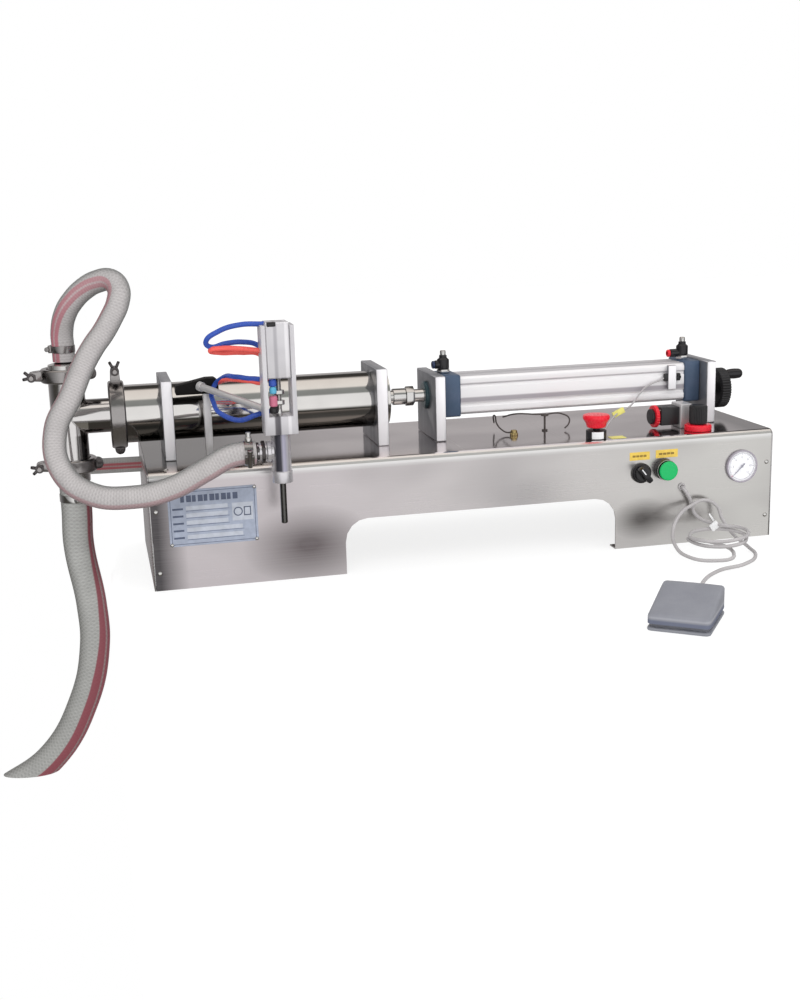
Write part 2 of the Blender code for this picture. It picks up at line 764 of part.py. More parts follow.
def nozzle_arm():
    """Post on the deck with a black clamp block, and the rod that carries the nozzle."""
    foot = DECK_TOP + GAP
    post = node("arm_post", block((-0.389, -0.066, foot), (-0.378, -0.054, 0.272)), "black")
    unite(post, block((-0.428, -0.072, 0.268), (-0.366, -0.046, 0.290), 0.004))
    start = Vector((-0.395, -0.077, 0.281))
    end = Vector((-0.3125, -0.1785, 0.257))
    line = end - start
    shape = rod(0.005, 0, line.length, 16)
    bmesh.ops.transform(shape, matrix=line.to_track_quat("Z", "Y").to_matrix().to_4x4(), verts=shape.verts)
    node("arm_rod", shape, "polished", start)


# Controls --------------------------------------------------------------------------------


def emergency_stop():
    """Mushroom button on the deck: the stem presses, the head turns to release."""
    x, y = ESTOP
    at = (x, y, DECK_TOP)
    body = [(0.0053, -0.032), (0.011, -0.032), (0.011, GAP), (0.0155, GAP), (0.0155, 0.0135)]
    body += [(0.0053, 0.0135)]
    node("estop_body", turned(body, COARSE), "white", at)
    node("estop_stem", rod(0.005, -0.030, 0.0175, 16), "black", at)
    head = [(0, 0.0178), (0.0145, 0.0178), (0.0165, 0.025), (0.0205, 0.031), (0.0205, 0.0355)]
    head += [(0.019, 0.0375), (0, 0.0380)]
    node("estop_head", turned(head, 20), "red", at)


def regulator():
    """Air regulator under the deck, its red ring and black knob above."""
    x, y = REGULATOR
    at = (x, y, DECK_TOP)
    under = -SHEET - 0.0005
    body = [(0, -0.065), (0.020, -0.065), (0.020, under), (0.0145, under), (0.0145, GAP)]
    body += [(0.021, GAP), (0.021, 0.0095), (0, 0.0100)]
    node("regulator_body", turned(body, COARSE), "red", at)
    knob = [(0, 0.0103), (0.0125, 0.0103), (0.0140, 0.012), (0.0140, 0.038), (0.0125, 0.040), (0, 0.040)]
    node("regulator_knob", turned(knob, COARSE), "black", at)


def throttle():
    """Air throttle that lies along X beside the cylinder, turned by its red disc."""
    y, z = THROTTLE
    low = (0.351, y - 0.0175, DECK_TOP + GAP)
    high = (0.371, y + 0.0175, z + 0.019)
    body = node("throttle_body", block(low, high, 0.001), "aluminium")
    unite(body, block((0.3200, y - 0.0135, z - 0.0135), (0.354, y + 0.0135, z + 0.0150), 0.001))
    knob = [(0, 0.3060), (0.0120, 0.3060), (0.0120, 0.3115), (0.0176, 0.3115), (0.0176, 0.3170)]
    knob += [(0.010, 0.3170), (0.010, 0.3197), (0, 0.3197)]
    node("throttle_knob", turned(knob, COARSE, TO_X), "red", (0, y, z))


def selector():
    """Two-position switch in the front panel."""
    x, z = SELECTOR
    at = (x, PANEL_Y, z)
    bezel = [(0, -0.006), (0.0145, -0.006), (0.0155, -0.004), (0.0155, -GAP), (0.011, -GAP)]
    bezel += [(0.011, 0.030), (0, 0.030)]
    node("selector_bezel", turned(bezel, COARSE, TO_Y), "black", at)
    knob = node("selector_knob", rod(0.0125, -0.0105, -0.0063, COARSE, TO_Y), "black", at)
    lever = block((-0.0135, -0.023, -0.004), (0.0135, -0.009, 0.004), 0.001)
    turn = Matrix.Rotation(math.radians(52), 4, "Y")
    bmesh.ops.transform(lever, matrix=turn, verts=lever.verts)
    unite(knob, lever, at)


def start_button():
    x, z = START
    at = (x, PANEL_Y, z)
    bezel = [(0.0085, -0.012), (0.0155, -0.012), (0.0165, -0.010), (0.0165, -GAP), (0.011, -GAP)]
    bezel += [(0.011, 0.030), (0.0085, 0.030)]
    node("start_bezel", turned(bezel, COARSE, TO_Y), "black", at)
    button = [(0, -0.019), (0.0138, -0.019), (0.0148, -0.018), (0.0148, -0.0165), (0.008, -0.0165)]
    button += [(0.008, 0.026), (0, 0.026)]
    node("start_button", turned(button, COARSE, TO_Y), "green", at)


def gauge():
    """Pressure gauge in the front panel, with a turning needle."""
    x, z = GAUGE
    at = (x, PANEL_Y, z)
    case = [
        (0, -0.0020),
        (0.0235, -0.0020),
        (0.0235, -0.0052),
        (0.0252, -0.0052),
        (0.0257, -0.0044),
        (0.0257, -GAP),
        (0.019, -GAP),
        (0.019, 0.028),
        (0, 0.028),
    ]
    node("gauge_case", turned(case, FINE, TO_Y), "white", at)
    outline = [(-0.0009, 0.0180), (-0.0010, -0.0060), (0.0010, -0.0060), (0.0009, 0.0180)]
    to_xz = Matrix(((1, 0, 0, 0), (0, 0, 1, 0), (0, 1, 0, 0), (0, 0, 0, 1)))
    needle = prism(outline, -0.0038, -0.0032, to_xz)
    turn = Matrix.Rotation(math.radians(-135), 4, "Y")
    bmesh.ops.transform(needle, matrix=turn, verts=needle.verts)
    node("gauge_needle", needle, "black", at)


# Foot pedal ------------------------------------------------------------------------------


def sloped_block(half_width, front, rear, low, front_top, rear_top):
    """A wedge in the pedal's own frame, higher at its rear."""
    outline = [(front, low), (rear, low), (rear, rear_top), (rear - 0.012, rear_top)]
    outline += [(front + 0.006, front_top + 0.002), (front, front_top - 0.003)]
    to_yz = Matrix(((0, 0, 1, 0), (1, 0, 0, 0), (0, 1, 0, 0), (0, 0, 0, 1)))
    return prism(outline, -half_width, half_width, to_yz)


def foot_pedal():
    width, length = PEDAL_SIZE
    half = width / 2
    back = length / 2
    turn = Matrix.Rotation(PEDAL_TURN, 4, "Z")
    spot = (*PEDAL_CENTRE, 0)
    tray = block((-half, -back, 0), (half, back, 0.004), 0.001)
    bmesh.ops.transform(tray, matrix=turn, verts=tray.verts)
    base = node("pedal_base", tray, "grey", spot)
    stand = block((-half + 0.004, -back + 0.005, 0.003), (half - 0.004, back - 0.0075, 0.0115), 0.001)
    bmesh.ops.transform(stand, matrix=turn, verts=stand.verts)
    unite(base, stand, spot)
    hinge_depth = back - 0.003
    hinge = (*pedal_frame(0, hinge_depth), 0.010)
    cover = sloped_block(half, -length + 0.003, 0.003, 0.0015, 0.0120, 0.0310)
    bmesh.ops.transform(cover, matrix=turn, verts=cover.verts)
    treadle = node("pedal_treadle", cover, "grey", hinge)
    room = sloped_block(half - 0.0025, -length + 0.006, 0.0, -0.01, 0.0095, 0.0285)
    bmesh.ops.transform(room, matrix=turn, verts=room.verts)
    cut(treadle, room, hinge)


def lower_to_deck_origin():
    for obj in bpy.context.scene.objects:
        obj.location.z -= DECK_TOP


def main():
    clear_scene()
    for build in (
        base_shell,
        end_panels,
        solenoid_valve,
        support_plates,
        product_tube,
        product_piston,
        rod_coupling,
        air_rod,
        air_piston,
        air_cylinder,
        stroke_stop,
        tee_body,
        outlet_valve,
        inlet_valve,
        clamps,
        discharge_hose,
        suction_hose,
        pedal_cable,
        nozzle_frame,
        nozzle_cylinder,
        nozzle_plunger,
        nozzle_body,
        nozzle_tip,
        nozzle_arm,
        emergency_stop,
        regulator,
        throttle,
        selector,
        start_button,
        gauge,
        foot_pedal,
    ):
        build()
    flow_control("front", -0.010)
    flow_control("rear", 0.392)
    lower_to_deck_origin()


main()
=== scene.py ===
"""The looks of a benchtop piston liquid filler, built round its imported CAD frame.

Metres, +Z up, in the row frame: the origin is the centre of the deck's top face, +X runs from
the product tee to the handwheel, and -Y is the operator's side. Flat CAD solids stay, with
softened edges and new materials. Round ones are replaced by finer pieces on the same axes.
"""

import json
import math

import bmesh
import bpy
from mathutils import Matrix, Vector

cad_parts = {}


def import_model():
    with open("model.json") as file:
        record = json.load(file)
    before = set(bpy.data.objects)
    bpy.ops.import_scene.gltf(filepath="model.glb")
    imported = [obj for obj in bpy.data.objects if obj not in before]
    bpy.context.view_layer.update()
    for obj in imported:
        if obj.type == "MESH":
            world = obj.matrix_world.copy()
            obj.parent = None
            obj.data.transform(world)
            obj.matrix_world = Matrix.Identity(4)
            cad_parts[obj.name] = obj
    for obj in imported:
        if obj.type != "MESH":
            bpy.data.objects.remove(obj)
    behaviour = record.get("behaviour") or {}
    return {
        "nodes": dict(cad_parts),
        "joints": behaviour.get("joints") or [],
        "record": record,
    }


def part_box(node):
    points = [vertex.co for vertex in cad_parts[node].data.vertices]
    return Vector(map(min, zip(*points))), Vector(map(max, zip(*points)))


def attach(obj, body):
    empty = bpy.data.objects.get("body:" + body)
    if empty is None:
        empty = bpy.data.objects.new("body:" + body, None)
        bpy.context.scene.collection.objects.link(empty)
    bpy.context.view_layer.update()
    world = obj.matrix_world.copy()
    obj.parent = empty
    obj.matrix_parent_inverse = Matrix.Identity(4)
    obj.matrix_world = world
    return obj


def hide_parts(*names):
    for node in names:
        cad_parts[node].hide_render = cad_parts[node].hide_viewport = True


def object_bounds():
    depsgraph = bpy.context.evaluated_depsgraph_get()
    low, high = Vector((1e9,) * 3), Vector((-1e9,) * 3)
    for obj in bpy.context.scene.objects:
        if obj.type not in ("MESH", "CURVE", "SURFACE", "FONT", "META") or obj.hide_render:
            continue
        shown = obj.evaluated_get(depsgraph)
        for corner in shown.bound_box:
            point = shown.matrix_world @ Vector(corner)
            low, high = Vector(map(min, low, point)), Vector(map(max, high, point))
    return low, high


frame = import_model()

cad_low, cad_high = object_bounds()

BODY_OF = {
    node: body
    for body, nodes in frame["record"]["behaviour"]["bodies"].items()
    for node in nodes
}
ROUND = 72
SMALL = 40


def middle(node):
    low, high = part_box(node)
    return (low + high) / 2


def spin(degrees, axis):
    """A turn about one of the row frame's axes."""
    return Matrix.Rotation(math.radians(degrees), 4, axis)


# Turns that lay a shape made along Z, or a flat outline, the other ways.
TO_X = spin(90, "Y")
TO_LEFT = spin(-90, "Y")
TO_Y = spin(-90, "X")
TO_FRONT = spin(90, "X")
SHEET_TO_XZ = Matrix(((1, 0, 0, 0), (0, 0, 1, 0), (0, 1, 0, 0), (0, 0, 0, 1)))

# Driving positions. Written-out heights are over the bench, so BENCH is added to them.
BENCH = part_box("base_shell")[0].z
DECK = 0.0
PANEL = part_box("base_shell")[0].y
AXIS = middle("air_rod")
TEE = Vector((-0.581, 0.0, AXIS.z))
NOZZLE = middle("nozzle_tip")
NOZZLE_INLET = 0.202 + BENCH
RETURN_PORT = 0.1455 + BENCH
HOSE_OUTER = 0.0162
HOSE_INNER = 0.01375
SUCTION_OUTER = 0.0225
SUCTION_INNER = 0.0195
PEDAL_TURN = -37
PEDAL_HALF = 0.0400
PEDAL_BACK = 0.0510


# Shapes ----------------------------------------------------------------------------------


def placed(shape, way=None, at=(0, 0, 0)):
    if way:
        bmesh.ops.transform(shape, matrix=way, verts=shape.verts)
    bmesh.ops.translate(shape, vec=at, verts=shape.verts)
    return shape


def softened(profile, radius=0.0006, steps=3):
    """The profile with each inner corner rounded off."""
    points = [Vector(p) for p in profile]
    made = [points[0]]
    for before, corner, after in zip(points, points[1:], points[2:]):
        back = before - corner
        ahead = after - corner
        reach = min(radius, back.length * 0.45, ahead.length * 0.45)
        if reach < 1e-6:
            made.append(corner)
            continue
        start = corner + back.normalized() * reach
        end = corner + ahead.normalized() * reach
        for step in range(steps + 1):
            t = step / steps
            made.append(start * (1 - t) ** 2 + corner * 2 * t * (1 - t) + end * t ** 2)
    made.append(points[-1])
    return [tuple(p) for p in made]


def turned(profile, sides=ROUND, way=None, at=(0, 0, 0), ripple=None):
    """A surface of revolution of (radius, height) points about Z.

    `ripple` is (count, depth, low, high): grooves along the axis between two heights.
    """
    shape = bmesh.new()
    rings = []
    for radius, height in profile:
        if radius < 1e-6:
            rings.append([shape.verts.new((0, 0, height))])
            continue
        ring = []
        for i in range(sides):
            angle = math.tau * i / sides
            reach = radius
            if ripple and ripple[2] <= height <= ripple[3]:
                reach -= ripple[1] * (0.5 - 0.5 * math.cos(ripple[0] * angle)) ** 2
            ring.append(shape.verts.new((reach * math.cos(angle), reach * math.sin(angle), height)))
        rings.append(ring)
    for low, high in zip(rings, rings[1:]):
        for i in range(sides):
            j = (i + 1) % sides
            corners = [low[i % len(low)], low[j % len(low)], high[j % len(high)], high[i % len(high)]]
            corners = list(dict.fromkeys(corners))
            if len(corners) > 2:
                shape.faces.new(corners)
    return placed(shape, way, at)


def lathe(profile, soft, sides, way=None, at=(0, 0, 0), ripple=None):
    """A profile with its corners softened, turned about its axis."""
    return turned(softened(profile, soft), sides, way, at, ripple)


def thread(radius, depth, pitch, low, high):
    """Profile points of a fine thread between two heights."""
    points = []
    z = low
    while z + pitch < high:
        points += [(radius, z), (radius - depth, z + pitch / 2)]
        z += pitch
    return points


def rod(radius, low, high, sides=SMALL, way=None, at=(0, 0, 0), soft=0.0004):
    profile = softened([(0, low), (radius, low), (radius, high), (0, high)], soft)
    return turned(profile, sides, way, at)


def pipe(outer, inner, low, high, sides=ROUND, way=None, at=(0, 0, 0), soft=0.0004):
    """A tube with both walls, softened at its ends."""
    middle_radius = (outer + inner) / 2
    profile = [(middle_radius, low), (outer, low), (outer, high), (inner, high), (inner, low)]
    return lathe([*profile, (middle_radius, low)], soft, sides, way, at)


def chamfered(shape, width, segments=2, angle=0.6):
    edges = [e for e in shape.edges if len(e.link_faces) == 2 and e.calc_face_angle() > angle]
    bmesh.ops.bevel(
        shape, geom=edges, offset=width, segments=segments, profile=0.5, affect="EDGES",
        clamp_overlap=True,
    )
    return shape


def block(low, high, soft=0.0008, segments=3, way=None, at=(0, 0, 0)):
    shape = bmesh.new()
    bmesh.ops.create_cube(shape, size=1.0)
    low = Vector(low)
    high = Vector(high)
    bmesh.ops.scale(shape, vec=high - low, verts=shape.verts)
    bmesh.ops.translate(shape, vec=(low + high) / 2, verts=shape.verts)
    chamfered(shape, soft, segments)
    return placed(shape, way, at)


def prism(outline, low, high, soft=0.0, way=None, at=(0, 0, 0)):
    """An outline of (u, v) points drawn out along Z, with its edges softened."""
    shape = bmesh.new()
    face = shape.faces.new([shape.verts.new((u, v, low)) for u, v in outline])
    grown = bmesh.ops.extrude_face_region(shape, geom=[face])
    moved = [item for item in grown["geom"] if isinstance(item, bmesh.types.BMVert)]
    bmesh.ops.translate(shape, vec=(0, 0, high - low), verts=moved)
    bmesh.ops.recalc_face_normals(shape, faces=shape.faces)
    if soft:
        chamfered(shape, soft)
    return placed(shape, way, at)


def arc(centre, radius, start, end, steps=8):
    angles = [math.radians(start + (end - start) * i / steps) for i in range(steps + 1)]
    return [(centre[0] + radius * math.cos(a), centre[1] + radius * math.sin(a)) for a in angles]


def rounded_outline(half_width, half_height, radius, steps=6):
    outline = []
    for sx, sy, start in ((1, 1, 0), (-1, 1, 90), (-1, -1, 180), (1, -1, 270)):
        centre = (sx * (half_width - radius), sy * (half_height - radius))
        outline += arc(centre, radius, start, start + 90, steps)
    return outline


def joined(*shapes):
    """One mesh from several, each with its own material index by its place in the list."""
    whole = bmesh.new()
    for index, shape in enumerate(shapes):
        group = shape if isinstance(shape, list) else [shape]
        for part in group:
            for face in part.faces:
                face.material_index = index
            held = bpy.data.meshes.new("held")
            part.to_mesh(held)
            part.free()
            whole.from_mesh(held)
            bpy.data.meshes.remove(held)
    return whole


def curve_through(points, resolution=12):
    """Points along the same smooth curve that the CAD hoses follow."""
    curve = bpy.data.curves.new("guide", "CURVE")
    curve.dimensions = "3D"
    curve.resolution_u = resolution
    spline = curve.splines.new("BEZIER")
    spline.bezier_points.add(len(points) - 1)
    for bezier, point in zip(spline.bezier_points, points):
        bezier.co = point
        bezier.handle_left_type = "AUTO"
        bezier.handle_right_type = "AUTO"
    guide = bpy.data.objects.new("guide", curve)
    bpy.context.scene.collection.objects.link(guide)
    bpy.context.view_layer.update()
    mesh = guide.to_mesh()
    path = [v.co.copy() for v in mesh.vertices]
    guide.to_mesh_clear()
    bpy.data.objects.remove(guide)
    bpy.data.curves.remove(curve)
    return path


def swept(path, radius, sides=24, side_hint=(0, -1, 0), inner=None):
    """A round sweep along a path. Its UV map holds the turn (0 to 1) and the length in metres.

    The turn starts on the side that `side_hint` points to. With `inner` the sweep is a tube
    that is open at both ends.
    """
    shape = bmesh.new()
    uv = shape.loops.layers.uv.new("UVMap")
    tangents = []
    for i in range(len(path)):
        ahead = path[min(i + 1, len(path) - 1)] - path[max(i - 1, 0)]
        tangents.append(ahead.normalized())
    side = Vector(side_hint)
    lengths = [0.0]
    for a, b in zip(path, path[1:]):
        lengths.append(lengths[-1] + (b - a).length)
    rings = {"outer": [], "inner": []}
    radii = {"outer": radius, "inner": inner}
    for point, tangent in zip(path, tangents):
        side = (side - tangent * side.dot(tangent)).normalized()
        other = tangent.cross(side)
        for wall in ("outer", "inner") if inner else ("outer",):
            ring = []
            for i in range(sides):
                angle = math.tau * i / sides
                reach = side * math.cos(angle) + other * math.sin(angle)
                ring.append(shape.verts.new(point + reach * radii[wall]))
            rings[wall].append(ring)

    def skin(first, second, start, end, flip):
        for i in range(sides):
            j = (i + 1) % sides
            corners = [first[i], first[j], second[j], second[i]]
            turns = [i / sides, (i + 1) / sides, (i + 1) / sides, i / sides]
            runs = [start, start, end, end]
            if flip:
                corners.reverse()
                turns.reverse()
                runs.reverse()
            face = shape.faces.new(corners)
            for loop, turn, run in zip(face.loops, turns, runs):
                loop[uv].uv = (turn, run)

    for wall, flip in (("outer", False), ("inner", True)):
        for i in range(len(rings[wall]) - 1):
            skin(rings[wall][i], rings[wall][i + 1], lengths[i], lengths[i + 1], flip)
    if inner:
        skin(rings["outer"][0], rings["inner"][0], lengths[0], lengths[0], True)
        skin(rings["outer"][-1], rings["inner"][-1], lengths[-1], lengths[-1], False)
    else:
        shape.faces.new(list(reversed(rings["outer"][0])))
        shape.faces.new(rings["outer"][-1])
    return shape


def piece(name, shape, materials, body="base", stands_for=(), smooth=35):
    """Adds a shape as a named piece on a body, with its materials."""
    if not isinstance(materials, (list, tuple)):
        materials = [materials]
    bmesh.ops.recalc_face_normals(shape, faces=shape.faces)
    mesh = bpy.data.meshes.new(name)
    shape.to_mesh(mesh)
    shape.free()
    mesh.shade_smooth()
    mesh.set_sharp_from_angle(angle=math.radians(smooth))
    for material in materials:
        mesh.materials.append(material)
    made = bpy.data.objects.new(name, mesh)
    bpy.context.scene.collection.objects.link(made)
    if isinstance(stands_for, str):
        stands_for = (stands_for,)
    if stands_for:
        body = BODY_OF[stands_for[0]]
        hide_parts(*stands_for)
    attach(made, body)
    return made


def dress(node, material, soft=0.0006, segments=2):
    """A CAD node that stays: a new material, and edges softened by a small bevel."""
    obj = frame["nodes"][node]
    obj.data.materials.clear()
    obj.data.materials.append(material)
    for face in obj.data.polygons:
        face.material_index = 0
    if soft:
        weld = obj.modifiers.new("Weld", "WELD")
        weld.merge_threshold = 0.00001
        bevel = obj.modifiers.new("Soft edges", "BEVEL")
        bevel.width = soft
        bevel.segments = segments
        bevel.limit_method = "ANGLE"
        bevel.angle_limit = math.radians(40)
        bevel.harden_normals = True
        obj.data.shade_smooth()


# Materials -------------------------------------------------------------------------------


class Nodes:
    """Short ways to add nodes to a tree and to link them."""

    def __init__(self, tree):
        self.tree = tree

    def add(self, kind, **values):
        made = self.tree.nodes.new(kind)
        for key, value in values.items():
            setattr(made, key, value)
        return made

    def feed(self, node, key, value):
        if isinstance(value, bpy.types.NodeSocket):
            self.tree.links.new(value, node.inputs[key])
        else:
            node.inputs[key].default_value = value

    def split(self, vector):
        made = self.add("ShaderNodeSeparateXYZ")
        self.feed(made, 0, vector)
        return made.outputs

    def span(self, value, low, high, from_low=0.3, from_high=0.7):
        """The value's range from `from_low` to `from_high` mapped to low to high, and clamped."""
        made = self.add("ShaderNodeMapRange")
        self.feed(made, "Value", value)
        self.feed(made, "From Min", from_low)
        self.feed(made, "From Max", from_high)
        self.feed(made, "To Min", low)
        self.feed(made, "To Max", high)
        return made.outputs["Result"]

    def math(self, operation, a, b=0.0, c=0.0):
        made = self.add("ShaderNodeMath", operation=operation)
        for index, value in enumerate((a, b, c)):
            self.feed(made, index, value)
        return made.outputs[0]

    def times(self, a, b):
        return self.math("MULTIPLY", a, b)

    def near(self, value, centre, core, fade):
        """1 where the value is within `core` of the centre, falling to 0 at `fade` from it."""
        off = self.math("ABSOLUTE", self.math("SUBTRACT", value, centre))
        return self.span(off, 1, 0, core, fade)

    def mix(self, amount, a, b, blend="MIX"):
        made = self.add("ShaderNodeMix", data_type="RGBA", blend_type=blend)
        for index, value in ((0, amount), (6, a), (7, b)):
            if isinstance(value, tuple) and len(value) == 3:
                value = (*value, 1.0)
            self.feed(made, index, value)
        return made.outputs[2]


class Surface(Nodes):
    """A Principled material with short ways to add the nodes that vary it."""

    def __init__(self, name, slot, colour, roughness, metallic=0.0, **inputs):
        self.material = bpy.data.materials.new(name)
        self.material.use_nodes = True
        self.material["slot"] = slot
        super().__init__(self.material.node_tree)
        self.shader = self.tree.nodes["Principled BSDF"]
        self.set("Base Color", (*colour, 1.0))
        self.set("Roughness", roughness)
        self.set("Metallic", metallic)
        for key, value in inputs.items():
            self.set(key.replace("_", " "), value)
        self.space = self.add("ShaderNodeTexCoord").outputs["Object"]

    def set(self, key, value):
        self.feed(self.shader, key, value)

    def place(self):
        """The point's x, y and z in the row frame."""
        return self.split(self.space)

    def facing(self):
        """The x, y and z of the surface's normal."""
        return self.split(self.add("ShaderNodeNewGeometry").outputs["Normal"])

    def noise(self, scale, detail=3.0, stretch=None):
        made = self.add("ShaderNodeTexNoise")
        where = self.space
        if stretch:
            mapping = self.add("ShaderNodeMapping")
            self.feed(mapping, "Vector", self.space)
            self.feed(mapping, "Scale", stretch)
            where = mapping.outputs["Vector"]
        self.feed(made, "Vector", where)
        self.feed(made, "Scale", scale)
        self.feed(made, "Detail", detail)
        self.feed(made, "Roughness", 0.5)
        return made.outputs["Fac"]

    def blob(self, centre, size):
        """A soft round mask: 1 at the centre, 0 beyond `size` along each axis."""
        shift = self.add("ShaderNodeMapping")
        self.feed(shift, "Vector", self.space)
        self.feed(shift, "Scale", tuple(1 / v for v in size))
        self.feed(shift, "Location", tuple(-c / v for c, v in zip(centre, size)))
        reach = self.add("ShaderNodeVectorMath", operation="LENGTH")
        self.feed(reach, 0, shift.outputs["Vector"])
        return self.span(reach.outputs["Value"], 1, 0, 0.15, 1.0)

    def uneven(self, cloud, a, b):
        """Two colours that a noise mixes."""
        return self.mix(self.span(cloud, 0, 1), a, b)

    def tint(self, base, colour, mask, strength):
        """The base colour, drawn towards another by a mask's strength."""
        return self.mix(self.times(mask, strength), base, colour)

    def finish(self, colour, roughness, height, strength, distance=0.0002):
        """Sets the varied colour and roughness and a fine bump."""
        self.set("Base Color", colour)
        self.set("Roughness", roughness)
        made = self.add("ShaderNodeBump")
        self.feed(made, "Height", height)
        self.feed(made, "Strength", strength)
        self.feed(made, "Distance", distance)
        self.set("Normal", made.outputs["Normal"])
        return self.material


def stainless_sheet():
    """Brushed along X: a bright front, pinkish left and greenish right, and a mirror-like deck, both toned
    with painted reflections and painted shade.
    """
    s = Surface("stainless_sheet", "stainless_sheet", (0.6, 0.58, 0.58), 0.3, 1.0)
    grain = s.noise(60, 4, (0.03, 14, 14))
    cloud = s.noise(5.0, 2, (0.8, 1, 1.5))
    top = s.span(s.facing()[2], 0, 1, 0.80, 0.97)
    tone = s.mix(top, sheet_front(s, cloud), sheet_deck(s))
    streak = s.uneven(grain, (0.90, 0.90, 0.90), (1.0, 1.0, 1.0))
    gloss_front = s.math("ADD", s.span(grain, 0.25, 0.30), s.span(cloud, 0.0, 0.06))
    gloss_front = s.times(gloss_front, s.math("SUBTRACT", 1.0, top))
    gloss = s.math("ADD", s.times(s.span(grain, 0.10, 0.15), top), gloss_front)
    return s.finish(s.mix(s.span(grain, 0, 0.06), tone, streak), gloss, grain, 0.04, 0.0003)


def sheet_front(s, cloud):
    """The front panel's tone: painted shade at its left end, two painted dark reflections and a painted
    highlight along its upper bend.
    """
    along, _, height = s.place()
    front = s.mix(s.span(along, 0, 1, -0.30, 0.35), (0.70, 0.645, 0.665), (0.745, 0.73, 0.705))
    front = s.mix(s.span(cloud, 0, 0.5, 0.45, 0.68), front, (0.46, 0.435, 0.44))
    # Painted shade at the left end, next to the end panel.
    front = s.mix(s.span(along, 0.97, 0, -0.470, -0.430), front, (0.085, 0.078, 0.083))
    # Two painted dark reflections in the polished front. The right one is of the cord's coil and the pedal.
    painted_reflection = s.blob((0.262, -0.135, 0.045 + BENCH), (0.052, 0.2, 0.034))
    front = s.tint(front, (0.13, 0.12, 0.115), painted_reflection, 0.88)
    painted_reflection = s.blob((-0.255, -0.135, 0.050 + BENCH), (0.098, 0.2, 0.060))
    front = s.tint(front, (0.115, 0.090, 0.095), painted_reflection, 0.85)
    # Painted highlight along the upper bend.
    return s.tint(front, (0.97, 0.965, 0.955), s.span(height, 0, 1, -0.0150, -0.0060), 0.9)


def sheet_deck(s):
    """The deck's tone: painted dark reflections at its left and right ends, and warm along its front left."""
    along, depth, _ = s.place()
    patch = s.noise(7.0, 1, (0.6, 1.2, 1))
    deck = s.mix(s.span(patch, 0, 1, 0.42, 0.62), (0.86, 0.81, 0.815), (0.70, 0.655, 0.665))
    # Painted dark reflection at the left end.
    deck = s.mix(s.span(along, 0.90, 0, -0.36, -0.20), deck, (0.19, 0.19, 0.185))
    warm = s.times(s.span(along, 1, 0, -0.22, 0.00), s.span(depth, 1, 0, -0.13, -0.085))
    deck = s.tint(deck, (0.95, 0.80, 0.72), warm, 0.7)
    # Painted dark reflection at the right end.
    return s.mix(s.span(along, 0, 0.80, 0.40, 0.45), deck, (0.12, 0.115, 0.12))


def panel_sheet():
    """A sheet brushed along Y, for the end panels."""
    s = Surface("bright_sheet", "stainless_sheet", (0.6, 0.58, 0.58), 0.3, 1.0)
    grain = s.noise(70, 4, (14, 0.03, 14))
    colour = s.uneven(grain, (0.55, 0.535, 0.54), (0.68, 0.66, 0.665))
    return s.finish(colour, s.span(grain, 0.22, 0.34), grain, 0.08, 0.0003)


def polished(name, stretch, tint=(0.80, 0.79, 0.775), low=0.05, high=0.13):
    """Mirror polish with faint turning marks along the stretched direction."""
    s = Surface(name, "polished_steel", tint, 0.08, 1.0)
    marks = s.noise(90, 4, stretch)
    cloud = s.noise(22, 2)
    gloss = s.math("ADD", s.span(marks, low, high), s.span(cloud, 0, 0.03))
    return s.finish(s.uneven(cloud, tint, tuple(c * 0.90 for c in tint)), gloss, marks, 0.03)


def tube_metal():
    """The measuring tube: mirror polish whose underside carries a painted dark brownish reflection, with a
    painted paler reflection line across it.
    """
    s = Surface("tube_metal", "polished_steel", (0.83, 0.81, 0.79), 0.06, 1.0)
    marks = s.noise(90, 4, (0.05, 6, 6))
    cloud = s.noise(22, 2)
    height = s.math("SUBTRACT", s.place()[2], AXIS.z)
    below = s.span(height, 1, 0, -0.0065, -0.0020)
    tone = s.uneven(cloud, (0.83, 0.81, 0.79), (0.76, 0.74, 0.72))
    # Painted dark reflection on the underside, and a painted paler reflection line across it.
    tone = s.tint(tone, (0.155, 0.145, 0.132), below, 0.92)
    tone = s.tint(tone, (0.45, 0.43, 0.40), s.near(height, -0.0300, 0.0010, 0.0035), 0.5)
    return s.finish(tone, s.span(marks, 0.04, 0.11), marks, 0.03)


def tee_metal():
    """The tee: polish with painted shade on the right of its upright pipe and under its branch."""
    s = Surface("tee_metal", "polished_steel", (0.80, 0.79, 0.775), 0.08, 1.0)
    marks = s.noise(90, 4, (0.4, 0.4, 14))
    cloud = s.noise(22, 2)
    place = s.place()
    across = s.math("SUBTRACT", place[0], TEE.x)
    height = s.math("SUBTRACT", place[2], AXIS.z)
    # Painted shade under the branch and on the right of the upright pipe.
    under_branch = s.times(s.span(across, 0, 1, 0.0262, 0.0275), s.span(height, 1, 0, -0.0070, -0.0020))
    off_branch = s.span(s.math("ABSOLUTE", height), 0, 1, 0.0235, 0.0262)
    right = s.times(s.span(across, 0, 1, 0.0060, 0.0130), off_branch)
    bright = s.uneven(cloud, (0.80, 0.78, 0.775), (0.73, 0.71, 0.70))
    tone = s.tint(bright, (0.13, 0.12, 0.115), s.math("MAXIMUM", under_branch, right), 0.9)
    return s.finish(tone, s.span(marks, 0.05, 0.14), marks, 0.03)


def satin_aluminium():
    """Dull aluminium bars and blocks."""
    tint = (0.66, 0.65, 0.655)
    s = Surface("satin", "aluminium_plate", tint, 0.35, 0.6)
    grain = s.noise(260, 3, (1, 1, 1))
    colour = s.uneven(s.noise(18, 2), tint, tuple(c * 0.95 for c in tint))
    return s.finish(colour, s.span(grain, 0.30, 0.42), grain, 0.04)


